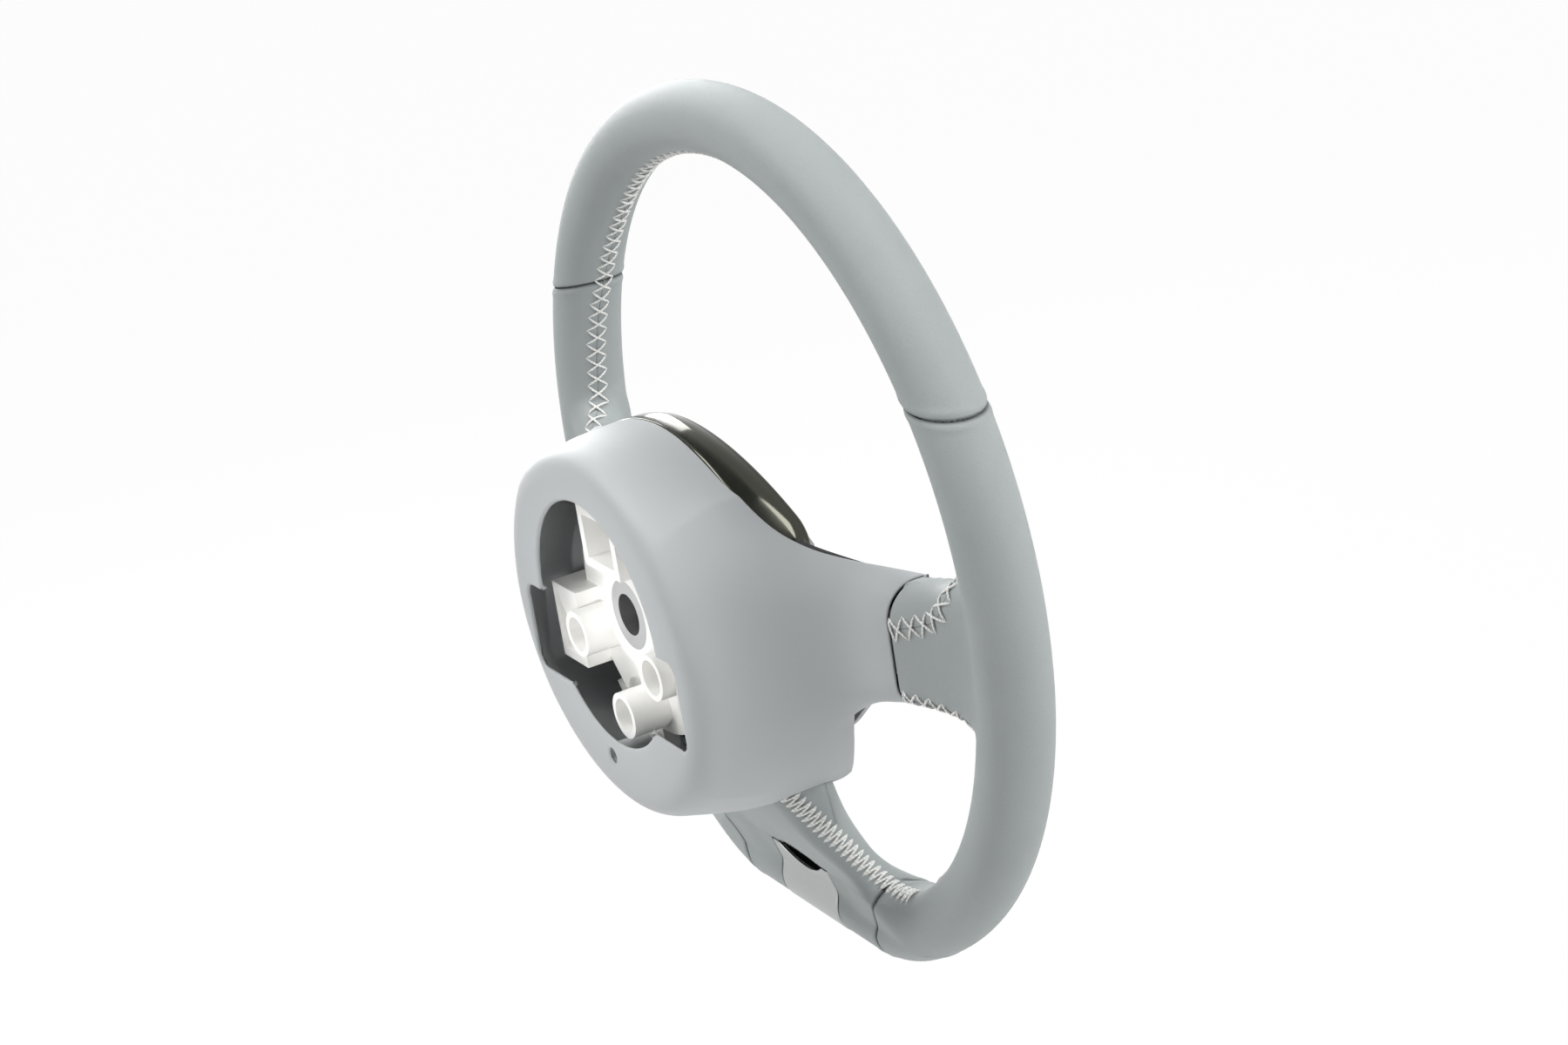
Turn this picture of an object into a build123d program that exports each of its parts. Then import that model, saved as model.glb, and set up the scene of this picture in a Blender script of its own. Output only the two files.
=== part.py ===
from build123d import *
import math
import os

# Flat-bottomed three-spoke car steering wheel, in millimetres. The origin is the mouth of the column bore,
# +Y points down the column, +Z to twelve o'clock, and the driver sits on the -Y side.

# Rim and its grip
RIM_DIAMETER = 380.0
GRIP_WIDTH = 29.0
GRIP_DEPTH = 31.0
RIM_SETBACK = 76.0
RIM_RAISE = 15.0
FLAT_CUT = 10.5
FLAT_CORNER = 60.0
CORE_SIZE = 12.0

# Leather skins and their seams
LEATHER = 1.4
SEAM_GAP = 0.8
UPPER_SEAM_ANGLE = 61.0
SEAM_PAST_CORNER = 2.9
WEB_SEAM_X = 64.0
WEB_SEAM_TOP_X = 12.0

# Side spokes
SPOKE_TOP = 29.5
SPOKE_LOW = -20.5
SPOKE_BACK = 25.5
SPOKE_FRONT = 5.5
SPOKE_CROWN = 15.5
SPOKE_CORNER = 9.0
SPOKE_FRONT_CORNER = 4.0
WING_END = 128.0
JOINT_GAP = 0.6
STUB_FLARE = 24.0

# Lower spoke
WEB_TOP = -75.0
WEB_TOP_WIDTH = 92.0
WEB_FOOT_WIDTH = 184.0
WEB_BACK = 48.0
WEB_FRONT = 16.0
WEB_RIDGE_RISE = 20.5
WEB_RIDGE_BACK = 18.0
WEB_CROWN = 1.5

# Clasp round the flat of the rim, and the slot above it
CLASP_WIDTH = 48.0
CLASP_WALL = 2.4
CLASP_LIP = 1.0
CLASP_GAP = 0.4
SLOT_WIDTH = 36.0
SLOT_HEIGHT = 8.0
SLOT_DEPTH = 9.0
SLOT_SAG = 1.5
SLOT_LIP = 0.9

# Rear cover
COVER_WALL = 2.5
COVER_BACK = 15.0
COVER_EDGE = 9.0
COVER_BACK_WIDTH = 168.0
COVER_BACK_TOP = 72.5
COVER_BACK_BOTTOM = -82.0
COVER_WIDTH = 173.0
COVER_TOP = 75.0
COVER_BOTTOM = -92.0
COVER_FRONT_WIDTH = 168.0
COVER_FRONT_BOTTOM = -87.0
COVER_LOWER_FRONT = 15.0
COVER_TOP_FRONT = 49.0
COVER_BROW = 50.0
COVER_SHOULDER = 88.0
COVER_SHOULDER_FRONT = 35.0
OPENING_RADIUS = 53.0
EAR_SPAN = 136.0
EAR_HEIGHT = 38.0
EAR_DROP = 18.0
EAR_CORNER = 6.0
COVER_CLEARANCE = 0.6

# Screw that holds the cover
SCREW_SIDE = 8.0
SCREW_DROP = 61.0
SCREW_HEAD_DIAMETER = 6.0
SCREW_HEAD_HEIGHT = 2.6
SCREW_SHANK_DIAMETER = 3.6
SCREW_LENGTH = 12.0
SCREW_HEAD_DEPTH = 15.0
SCREW_TOWER_WALL = 1.8
SCREW_CLEARANCE = 0.3

# Hub and cast armature
BORE_DIAMETER = 18.0
BORE_LENGTH = 22.0
INSERT_DIAMETER = 30.0
HUB_DIAMETER = 44.0
PLATE_BACK = -7.0
PLATE_THICKNESS = 7.0
PLATE_RADIUS = 54.0
ARM_HEIGHT = 26.0
ARM_SETTLE = 8.5
ARM_WING_RISE = 3.0
ARM_THICKNESS = 5.0
LOWER_ARM_WIDTH = 14.0
LUG_DIAMETER = 12.0
RIB_THICKNESS = 4.0
RIB_BACK = -1.0
WINDOW_WIDTH = 24.0
WINDOW_HEIGHT = 19.0
WINDOW_RAISE = 34.5
WINDOW_WALL = 4.0
WINDOW_BACK = 8.0
EAR_PLATE_SPAN = 132.0
EAR_PLATE_BACK = 4.0
EAR_POCKET_DEPTH = 9.0

# Floating horn module
PIN_DIAMETER = 8.0
PIN_CLEARANCE = 0.3
PIN_SPREAD = 34.0
PIN_DROP = 15.0
LOWER_PIN_DROP = 42.0
PIN_HEAD_DIAMETER = 12.0
PIN_HEAD_HEIGHT = 2.0
BOSS_DIAMETER = 20.0
BOSS_BACK = 10.0
BOSS_FRONT = -26.0
BOSS_CUP_DIAMETER = 15.0
BOSS_CUP_FLOOR = -6.0
CLIP_DIAMETER = 12.0
CLIP_THICKNESS = 1.5
HORN_TRAVEL = 2.0
STOP_GAP = 0.3
PIN_TAIL = 1.5
SPRING_WIRE = 1.3
SPRING_DIAMETER = 13.0
SPRING_TURNS = 2.5
TRAY_THICKNESS = 2.0
TRAY_BACK = -36.0
TRAY_INSET = 2.0
INFLATOR_DIAMETER = 60.0
INFLATOR_FLANGE_DIAMETER = 76.0
INFLATOR_CLEARANCE = 2.0
INFLATOR_RISE = 6.0
PAD_WALL = 3.0
PAD_PROUD = 7.0
PAD_EDGE = 6.0
PAD_GAP = 1.2

# Chromed bezel round the pad
BEZEL_WALL = 5.0
BEZEL_TOP = 75.0
BEZEL_SHOULDER_X = 84.0
BEZEL_SHOULDER_Z = 36.0
BEZEL_FOOT_X = 58.0
BEZEL_FOOT_Z = -48.0
BEZEL_BOTTOM = -68.0
BEZEL_CORNER = 16.0
BEZEL_TOP_FRONT = 40.0
BEZEL_BOTTOM_FRONT = 6.0
BEZEL_SIDE_BACK = -37.0
BEZEL_ARCH_FOOT = 36.0
BEZEL_EDGE = 2.0
BEZEL_CLEARANCE = 0.3

# Switch panels and keys
PANEL_INNER = 70.0
PANEL_LOW = -20.0
PANEL_THICKNESS = 4.6
PANEL_FACE = 18.0
PANEL_TILT = 31.0
PANEL_CLEARANCE = 0.3
KEY_CENTRE = 106.0
KEY_LENGTH = 26.0
KEY_HEIGHT = 13.0
KEY_SPACING = 17.0
KEY_CORNER = 4.0
KEY_PROUD = 1.4
KEY_DEPTH = 2.2
KEY_TRAVEL = 1.0
KEY_SPARE = 0.5
KEY_CLEARANCE = 0.35

# Apron that closes the front below the switch panels
APRON_FRONT = 17.0
APRON_THICKNESS = 2.5
APRON_LIP = 14.0
APRON_CLEARANCE = 0.3

# Trim on the front of the lower spoke
TRIM_WIDTH = 44.0
TRIM_PROUD = 2.5
TRIM_CLEARANCE = 0.2

# Worked out from the driving dimensions
RIM_Y = -RIM_SETBACK
RIM_CENTRE = Vector(0, RIM_Y, RIM_RAISE)
RIM_RADIUS = (RIM_DIAMETER - GRIP_WIDTH) / 2
FLAT_Z = RIM_RAISE - RIM_RADIUS + FLAT_CUT
CORNER_Z = FLAT_Z + FLAT_CORNER
CORNER_X = math.sqrt((RIM_RADIUS - FLAT_CORNER) ** 2 - (CORNER_Z - RIM_RAISE) ** 2)
CORNER_ANGLE = math.degrees(math.atan2(CORNER_X, CORNER_Z - RIM_RAISE))
WEB_RIDGE = FLAT_Z + WEB_RIDGE_RISE
CLASP_TOP = WEB_RIDGE - CLASP_LIP
LOWER_SEAM_X = CORNER_X + SEAM_PAST_CORNER
STUB_START = WING_END + JOINT_GAP
PLATE_FRONT = PLATE_BACK - PLATE_THICKNESS
TRAY_FRONT = TRAY_BACK - TRAY_THICKNESS
SPOKE_MIDDLE = (SPOKE_TOP + SPOKE_LOW) / 2
INFLATOR_BACK = BOSS_FRONT - HORN_TRAVEL - INFLATOR_CLEARANCE
INFLATOR_FRONT = TRAY_FRONT - INFLATOR_RISE
LOWER_ARM_SPREAD = (CLASP_WIDTH + LOWER_ARM_WIDTH) / 2 + 2 * CLASP_WALL
PIN_PLACES = [(-PIN_SPREAD, -PIN_DROP), (PIN_SPREAD, -PIN_DROP), (0.0, -LOWER_PIN_DROP)]
FAR = RIM_DIAMETER
WING_SLOPE = (COVER_SHOULDER_FRONT - SPOKE_FRONT) / (WING_END - COVER_SHOULDER)


def blend(start, end, share):
    """The value a share of the way from start to end."""
    return start + (end - start) * share


def behind_rim(offset):
    """The y of a plane that lies an offset behind the rim's plane."""
    return RIM_Y + offset


def drum_along_y(radius, front, back, x=0.0, z=0.0):
    """A round bar from front to back, parallel to the column."""
    return Pos(x, back, z) * extrude(Plane.XZ * Circle(radius), back - front)


def block(x0, x1, y0, y1, z0, z1):
    """A box between two corners."""
    return Pos((x0 + x1) / 2, (y0 + y1) / 2, (z0 + z1) / 2) * Box(x1 - x0, y1 - y0, z1 - z0)


def ring_plane(centre, radius, angle):
    """The plane across the rim at an angle from twelve o'clock, its x axis pointing outwards."""
    turn = math.radians(angle)
    outward = Vector(math.sin(turn), 0, math.cos(turn))
    along = Vector(math.cos(turn), 0, -math.sin(turn))
    return Plane(origin=centre + outward * radius, x_dir=outward, z_dir=along)


def rim_bar(section):
    """A bar of a given section along the whole flat-bottomed rim."""
    right = Vector(CORNER_X, RIM_Y, CORNER_Z)
    left = Vector(-CORNER_X, RIM_Y, CORNER_Z)
    start = ring_plane(RIM_CENTRE, RIM_RADIUS, -CORNER_ANGLE) * section
    bar = revolve(start, Axis(RIM_CENTRE, (0, 1, 0)), 2 * CORNER_ANGLE)
    turn = 180 - CORNER_ANGLE
    bar += revolve(ring_plane(right, FLAT_CORNER, CORNER_ANGLE) * section, Axis(right, (0, 1, 0)), turn)
    bar += extrude(ring_plane(right, FLAT_CORNER, 180) * section, 2 * CORNER_X)
    bar += revolve(ring_plane(left, FLAT_CORNER, 180) * section, Axis(left, (0, 1, 0)), turn)
    return bar


def rounded_face(x0, x1, y0, y1, radii):
    """A rectangle with a radius of its own at each corner, anticlockwise from the upper right."""
    corners = ((x1, y1, -1, -1), (x0, y1, 1, -1), (x0, y0, 1, 1), (x1, y0, -1, 1))
    points = []
    for turn, ((x, y, inward, upward), radius) in enumerate(zip(corners, radii)):
        centre = Vector(x + inward * radius, y + upward * radius)
        for step in (0, 1, 2):
            angle = math.radians(90 * turn + 45 * step)
            points.append(centre + Vector(math.cos(angle), math.sin(angle)) * radius)
    line = Curve()
    for k in range(0, 12, 3):
        line += ThreePointArc(points[k], points[k + 1], points[k + 2])
        line += Line(points[k + 2], points[(k + 3) % 12])
    return make_face(line)


def spoke_section(x, span, reach, rounds, inset):
    """A section across a side spoke, with its span in depth, its reach in height and its rear rounds."""
    plane = Plane(origin=(x, 0, 0), x_dir=(0, 1, 0), z_dir=(1, 0, 0))
    crown, corner = (size - inset for size in rounds)
    front, back = behind_rim(span[0]) + inset, behind_rim(span[1]) - inset
    low, top = reach[0] + inset, reach[1] - inset
    front_corner = SPOKE_FRONT_CORNER - inset
    radii = (crown, front_corner, front_corner, corner)
    return plane * rounded_face(front, back, low, top, radii)


def spoke_stub(inset):
    """The grip's stub from the end of the cover's wing into the rim, flared where it meets it."""
    seat = GRIP_DEPTH / 2 - 2 * LEATHER
    sections = []
    for share, settle, flare in ((0.0, 0.0, 0.0), (0.4, 0.5, 0.08), (0.75, 0.85, 0.4), (1.0, 1.0, 1.0)):
        x = blend(STUB_START, RIM_RADIUS, share)
        span = (blend(SPOKE_FRONT, -seat, settle), blend(SPOKE_BACK, seat, settle))
        widen = STUB_FLARE / 2 * flare
        rounds = (blend(SPOKE_CROWN, SPOKE_CORNER, settle), SPOKE_CORNER)
        sections.append(spoke_section(x, span, (SPOKE_LOW - widen, SPOKE_TOP + widen), rounds, inset))
    return loft(sections)


def web_stations():
    """Height, half width, front and back of the lower spoke from under the cover into the rim."""
    seat = GRIP_DEPTH / 2 - 3 * LEATHER
    middle = blend(WEB_TOP, WEB_RIDGE, 0.5)
    middle_back = blend(WEB_BACK, WEB_RIDGE_BACK, 0.5) + WEB_CROWN
    stations = []
    for z, widen, settle, back in (
        (WEB_TOP, 0.0, 0.0, WEB_BACK),
        (middle, 0.12, 0.16, middle_back),
        (WEB_RIDGE, 0.45, 0.56, WEB_RIDGE_BACK),
        (FLAT_Z, 1.0, 1.0, seat),
    ):
        half = blend(WEB_TOP_WIDTH, WEB_FOOT_WIDTH, widen) / 2
        front = blend(WEB_FRONT, -seat, settle)
        stations.append((z, half, behind_rim(front), behind_rim(back)))
    return stations


def lower_web(inset):
    """The lower spoke: a crowned web down to a sharp ridge, and a foot that widens into the flat."""
    sections = []
    for z, half, front, back in web_stations():
        depth = back - front - 2 * inset
        plane = Plane(origin=(0, (front + back) / 2, z), x_dir=(1, 0, 0), z_dir=(0, 0, 1))
        sections.append(plane * RectangleRounded(2 * (half - inset), depth, 0.44 * depth))
    return loft(sections[:3]) + loft(sections[2:])


def grip(inset):
    """The whole grip drawn in by an inset: rim, both stubs and the lower web."""
    body = rim_bar(Ellipse(GRIP_WIDTH / 2 - inset, GRIP_DEPTH / 2 - inset))
    stub = spoke_stub(inset)
    return body + stub + mirror(stub, Plane.YZ) + lower_web(inset)


def seams():
    """Thin cuts that part the skins: two radial ones above, and two that run down the lower web."""
    cuts = []
    for side in (-1, 1):
        plane = ring_plane(RIM_CENTRE, RIM_RADIUS, side * UPPER_SEAM_ANGLE)
        cuts.append(plane * Box(2 * GRIP_WIDTH, 2 * GRIP_DEPTH, SEAM_GAP))
        top = (side * WEB_SEAM_TOP_X, WEB_TOP + LEATHER * 4)
        bend = (side * WEB_SEAM_X, FLAT_Z + GRIP_WIDTH * 0.8)
        foot = (side * LOWER_SEAM_X, FLAT_Z - GRIP_WIDTH)
        line = trace(Polyline(top, bend, foot), SEAM_GAP)
        cuts.append(Pos(0, RIM_Y + 2 * GRIP_DEPTH, 0) * extrude(Plane.XZ * line, 4 * GRIP_DEPTH))
    return cuts


def clasp_room(gap):
    """The space round the flat of the rim that the clasp takes, with a gap on each side."""
    half = CLASP_WIDTH / 2 + gap
    return block(-half, half, -FAR, FAR, -FAR, CLASP_TOP + gap)


def clasp_bar(inset):
    """A bar along the flat of the rim with the grip's section there, drawn in by an inset."""
    (ridge, _, ridge_front, ridge_back), (foot, _, foot_front, foot_back) = web_stations()[2:]
    rear = [(ridge_back - inset, ridge), (foot_back - inset, foot)]
    front = [(foot_front + inset, foot), (ridge_front + inset, ridge)]
    section = Pos(RIM_Y, FLAT_Z) * Ellipse(GRIP_DEPTH / 2 - inset, GRIP_WIDTH / 2 - inset)
    section += make_face(Polyline(*rear, *front, close=True))
    return Pos(-CLASP_WIDTH / 2, 0, 0) * extrude(Plane.YZ * section, CLASP_WIDTH)


def clasp_slot():
    """The lens-shaped slot in the clasp's back, just under the ridge of the web."""
    half = SLOT_WIDTH / 2
    apex = CLASP_TOP - SLOT_LIP
    corner = apex - SLOT_SAG
    outline = ThreePointArc((-half, corner), (0, apex), (half, corner))
    outline += ThreePointArc((half, corner), (0, apex - SLOT_HEIGHT), (-half, corner))
    back = behind_rim(GRIP_DEPTH)
    return Pos(0, back, 0) * extrude(Plane.XZ * make_face(outline), GRIP_DEPTH / 2 + SLOT_DEPTH)


def cover_drum(inset):
    """The cover's round body: oval sections from its back face to its lower front edge."""
    places = (
        (COVER_BACK - inset, COVER_BACK_WIDTH, COVER_BACK_TOP, COVER_BACK_BOTTOM),
        (behind_rim(COVER_TOP_FRONT), COVER_WIDTH, COVER_TOP, COVER_BOTTOM),
        (behind_rim(COVER_LOWER_FRONT), COVER_FRONT_WIDTH, COVER_TOP, COVER_FRONT_BOTTOM),
    )
    sections = []
    for y, width, top, bottom in places:
        oval = Ellipse(width / 2 - inset, (top - bottom) / 2 - inset)
        sections.append(Pos(0, y, (top + bottom) / 2) * (Plane.XZ * oval))
    drum = loft(sections)
    return fillet(drum.edges().group_by(Axis.Y)[-1], COVER_EDGE - inset / 2)


def cover_wing(inset):
    """One trumpet-shaped wing, from inside the drum out to the leather stub."""
    shape = (
        (1.0, 58.0, 34.0, 25.0, 15.0, 18.0),
        (0.79, 46.0, 26.0, 15.5, 11.0, 14.0),
        (0.59, 27.0, 15.0, 10.0, 7.0, 8.0),
        (0.36, 11.5, 5.5, 5.5, 3.0, 3.0),
        (0.0, 0.0, 0.0, 0.0, 0.0, 0.0),
    )
    root = COVER_WIDTH / 2 - 24
    sections = []
    for share, deeper, lower, higher, crown, corner in shape:
        x = blend(WING_END, root, share)
        span = (-GRIP_DEPTH / 2, SPOKE_BACK + deeper)
        reach = (SPOKE_LOW - lower, SPOKE_TOP + higher)
        rounds = (SPOKE_CROWN + crown, SPOKE_CORNER + corner)
        sections.append(spoke_section(x, span, reach, rounds, inset))
    return loft(sections)


def cover_envelope(inset):
    """Drum and both wings as one solid, drawn in by an inset."""
    wing = cover_wing(inset)
    return cover_drum(inset) + wing + mirror(wing, Plane.YZ)


def front_cutters():
    """What is cut away in front of the cover: a rising edge above the spokes and a level one below."""
    tip = 2 * WING_END
    tip_front = behind_rim(COVER_SHOULDER_FRONT - WING_SLOPE * (tip - COVER_SHOULDER))
    shoulder = (COVER_SHOULDER, behind_rim(COVER_SHOULDER_FRONT))
    brow = (COVER_BROW, behind_rim(COVER_TOP_FRONT))
    crown = (0, behind_rim(COVER_TOP_FRONT))
    upper_line = Polyline((tip, tip_front), shoulder)
    upper_line += Spline(shoulder, brow, tangents=((-1, WING_SLOPE), (-1, 0)))
    upper_line += Polyline(brow, crown, (0, -FAR), (tip, -FAR), (tip, tip_front))
    low = behind_rim(COVER_LOWER_FRONT)
    meet = COVER_SHOULDER + (COVER_SHOULDER_FRONT - COVER_LOWER_FRONT) / WING_SLOPE
    lower = [(0, low), (meet, low), (tip, tip_front), (tip, -FAR), (0, -FAR)]
    lower_line = Polyline(*lower, close=True)
    cutters = []
    for outline, bottom in ((upper_line, SPOKE_MIDDLE), (lower_line, SPOKE_MIDDLE - FAR)):
        half = Pos(0, 0, bottom) * extrude(make_face(outline), FAR)
        cutters += [half, mirror(half, Plane.YZ)]
    return cutters


def rear_cover():
    """The moulded back cover with its opening, its screw tower and the notch for the lower web."""
    shell = cover_envelope(0) - cover_envelope(COVER_WALL)
    shell -= front_cutters()
    shell -= block(WING_END, FAR, -FAR, FAR, -FAR, FAR)
    shell -= block(-FAR, -WING_END, -FAR, FAR, -FAR, FAR)
    shell -= lower_web(-COVER_CLEARANCE)
    opening = Circle(OPENING_RADIUS)
    opening += Pos(0, -EAR_DROP) * RectangleRounded(EAR_SPAN, EAR_HEIGHT, EAR_CORNER)
    shell -= Pos(0, 2 * COVER_BACK, 0) * extrude(Plane.XZ * opening, 2 * COVER_BACK)
    bore = SCREW_HEAD_DIAMETER / 2 + SCREW_CLEARANCE
    floor = COVER_BACK - SCREW_HEAD_DEPTH
    tower_back = COVER_BACK - COVER_WALL
    tower_radius = bore + SCREW_TOWER_WALL
    tower = drum_along_y(tower_radius, floor - SCREW_HEAD_HEIGHT, tower_back, SCREW_SIDE, -SCREW_DROP)
    shell += tower
    shell -= drum_along_y(bore, floor, 2 * COVER_BACK, SCREW_SIDE, -SCREW_DROP)
    shank = SCREW_SHANK_DIAMETER / 2 + SCREW_CLEARANCE
    shell -= drum_along_y(shank, floor - COVER_BACK, floor + 1, SCREW_SIDE, -SCREW_DROP)
    return max(shell.solids(), key=lambda solid: solid.volume)


def cover_screw():
    """Pan-head screw at the bottom of the cover's tower."""
    floor = COVER_BACK - SCREW_HEAD_DEPTH
    head = drum_along_y(SCREW_HEAD_DIAMETER / 2, floor, floor + SCREW_HEAD_HEIGHT, SCREW_SIDE, -SCREW_DROP)
    head = fillet(head.edges().group_by(Axis.Y)[-1], SCREW_HEAD_HEIGHT / 3)
    shank = drum_along_y(SCREW_SHANK_DIAMETER / 2, floor - SCREW_LENGTH, floor, SCREW_SIDE, -SCREW_DROP)
    return head + shank


def side_arm():
    """The right-hand arm: a bent strip from the hub plate through the wing into the rim core."""
    hub = (PLATE_RADIUS - 10, (PLATE_BACK + PLATE_FRONT) / 2)
    bend = (PLATE_RADIUS + 8, PLATE_FRONT)
    inner = (COVER_WIDTH / 2 + 2, behind_rim(COVER_SHOULDER_FRONT + ARM_SETTLE))
    wing = (COVER_SHOULDER + 16, behind_rim(SPOKE_BACK + ARM_WING_RISE))
    stub = (WING_END, behind_rim(SPOKE_BACK - ARM_SETTLE))
    rim = (RIM_RADIUS, RIM_Y)
    strip = trace(Polyline(hub, bend, inner, wing, stub, rim), ARM_THICKNESS)
    return Pos(0, 0, SPOKE_MIDDLE - ARM_HEIGHT / 2) * extrude(strip, ARM_HEIGHT)


def lower_arm(x):
    """One lower arm, from the hub plate under the cover and through the web into the rim core."""
    hub = ((PLATE_BACK + PLATE_FRONT) / 2, 10 - PLATE_RADIUS)
    bend = (PLATE_FRONT, -PLATE_RADIUS - 6)
    web = (behind_rim(WEB_BACK - 2.6 * ARM_THICKNESS), WEB_TOP)
    middle = (behind_rim(WEB_BACK / 3), blend(WEB_TOP, FLAT_Z, 0.6))
    strip = trace(Polyline(hub, bend, web, middle, (RIM_Y, FLAT_Z)), ARM_THICKNESS)
    return Pos(x - LOWER_ARM_WIDTH / 2, 0, 0) * extrude(Plane.YZ * strip, LOWER_ARM_WIDTH)


def rib(x, z):
    """A rib on the back of the hub plate, from the hub towards a point."""
    reach = math.hypot(x, z)
    bar = block(HUB_DIAMETER / 3, reach, PLATE_BACK, RIB_BACK, -RIB_THICKNESS / 2, RIB_THICKNESS / 2)
    return Rot(0, -math.degrees(math.atan2(z, x)), 0) * bar


def ear_plate():
    """The right-hand ear of the hub plate with its three-cornered pocket."""
    half = EAR_PLATE_SPAN / 2
    top = -EAR_DROP + EAR_HEIGHT / 2 - 2
    low = -EAR_DROP - EAR_HEIGHT / 2 + 2
    ear = block(PIN_SPREAD + BOSS_DIAMETER / 2 - 1, half, PLATE_FRONT, EAR_PLATE_BACK, low, top)
    inset = RIB_THICKNESS
    inner = PIN_SPREAD + BOSS_DIAMETER / 2 + inset / 2
    corners = [(half - inset, top - inset), (half - inset, low + inset), (inner, low + inset)]
    pocket = Plane.XZ * make_face(Polyline(*corners, close=True))
    return ear - Pos(0, EAR_PLATE_BACK + 1, 0) * extrude(pocket, EAR_POCKET_DEPTH + 1)


def armature():
    """The casting: hub plate, hub, pin bosses, window frame, ears, ribs, arms and rim core."""
    body = drum_along_y(PLATE_RADIUS, PLATE_FRONT, PLATE_BACK)
    lug = LUG_DIAMETER / 2
    floor = COVER_BACK - SCREW_HEAD_DEPTH - SCREW_HEAD_HEIGHT
    body += drum_along_y(lug, PLATE_FRONT, floor, SCREW_SIDE, -SCREW_DROP)
    reach = (-SCREW_DROP, lug - PLATE_RADIUS)
    body += block(SCREW_SIDE - lug, SCREW_SIDE + lug, PLATE_FRONT, PLATE_BACK, *reach)
    body += drum_along_y(HUB_DIAMETER / 2, -BORE_LENGTH, 0)
    frame_width = WINDOW_WIDTH / 2 + WINDOW_WALL
    frame_top = WINDOW_RAISE + WINDOW_HEIGHT / 2 + WINDOW_WALL
    frame_low = WINDOW_RAISE - WINDOW_HEIGHT / 2 - WINDOW_WALL
    body += block(-frame_width, frame_width, PLATE_FRONT, WINDOW_BACK, frame_low, frame_top)
    ear = ear_plate()
    body += [ear, mirror(ear, Plane.YZ)]
    for x, z in PIN_PLACES:
        body += drum_along_y(BOSS_DIAMETER / 2, BOSS_FRONT, BOSS_BACK, x, z)
        body += rib(x, z)
    for x in (-PIN_SPREAD, PIN_SPREAD):
        body += rib(x, WINDOW_RAISE)
    arm = side_arm()
    body += [arm, mirror(arm, Plane.YZ), lower_arm(LOWER_ARM_SPREAD), lower_arm(-LOWER_ARM_SPREAD)]
    body += rim_bar(Rectangle(CORE_SIZE, CORE_SIZE))
    body -= drum_along_y(INSERT_DIAMETER / 2, -FAR, FAR)
    window = block(-WINDOW_WIDTH / 2, WINDOW_WIDTH / 2, -FAR, FAR, -WINDOW_HEIGHT / 2, WINDOW_HEIGHT / 2)
    body -= Pos(0, 0, WINDOW_RAISE) * window
    for x, z in PIN_PLACES:
        body -= drum_along_y(PIN_DIAMETER / 2 + PIN_CLEARANCE, 2 * BOSS_FRONT, FAR, x, z)
        body -= drum_along_y(BOSS_CUP_DIAMETER / 2, BOSS_CUP_FLOOR, FAR, x, z)
    body -= drum_along_y(SCREW_SHANK_DIAMETER / 2, floor - 2 * SCREW_LENGTH, FAR, SCREW_SIDE, -SCREW_DROP)
    return body


def hub_insert():
    """Steel bush with the column bore, cast into the armature's hub."""
    bush = drum_along_y(INSERT_DIAMETER / 2, -BORE_LENGTH, 0)
    return bush - drum_along_y(BORE_DIAMETER / 2, -FAR, FAR)


def bezel_outline(inset):
    """The bezel's outline: an arch above, straight flanks and a flatter arc below."""
    shoulder = (BEZEL_SHOULDER_X, BEZEL_SHOULDER_Z)
    foot = (BEZEL_FOOT_X, BEZEL_FOOT_Z)
    left_foot = (-BEZEL_FOOT_X, BEZEL_FOOT_Z)
    left_shoulder = (-BEZEL_SHOULDER_X, BEZEL_SHOULDER_Z)
    line = ThreePointArc(left_shoulder, (0, BEZEL_TOP), shoulder)
    line += Line(shoulder, foot)
    line += ThreePointArc(foot, (0, BEZEL_BOTTOM), left_foot)
    line += Line(left_foot, left_shoulder)
    face = make_face(line)
    face = fillet(face.vertices(), BEZEL_CORNER)
    if inset:
        face = offset(face, -inset)
    return face


def behind_front(lift):
    """Everything behind the bezel's sloping front face, lifted towards the driver."""
    top = behind_rim(BEZEL_TOP_FRONT)
    bottom = behind_rim(BEZEL_BOTTOM_FRONT)
    slope = (top - bottom) / (BEZEL_TOP - BEZEL_BOTTOM)
    high = top + slope * (FAR - BEZEL_TOP) - lift
    low = bottom - slope * (FAR + BEZEL_BOTTOM) - lift
    side = Polyline((high, FAR), (FAR, FAR), (FAR, -FAR), (low, -FAR), close=True)
    return Pos(-FAR / 2, 0, 0) * extrude(Plane.YZ * make_face(side), FAR)


def front_bezel():
    """Chromed frame round the pad, with a deeper arch that runs back to the cover's top edge."""
    frame = Pos(0, behind_rim(COVER_TOP_FRONT), 0) * extrude(Plane.XZ * bezel_outline(0), RIM_SETBACK)
    frame &= behind_front(0)
    frame = fillet(frame.faces().sort_by(Axis.Y)[0].edges(), BEZEL_EDGE)
    frame -= Pos(0, RIM_SETBACK, 0) * extrude(Plane.XZ * bezel_outline(BEZEL_WALL), 3 * RIM_SETBACK)
    frame -= block(-FAR, FAR, BEZEL_SIDE_BACK, FAR, -FAR, BEZEL_ARCH_FOOT)
    right, left = front_cutters()[:2]
    upper = (frame & right) + (frame & left)
    return upper + (frame - block(-FAR, FAR, -FAR, FAR, SPOKE_MIDDLE, FAR))


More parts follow.
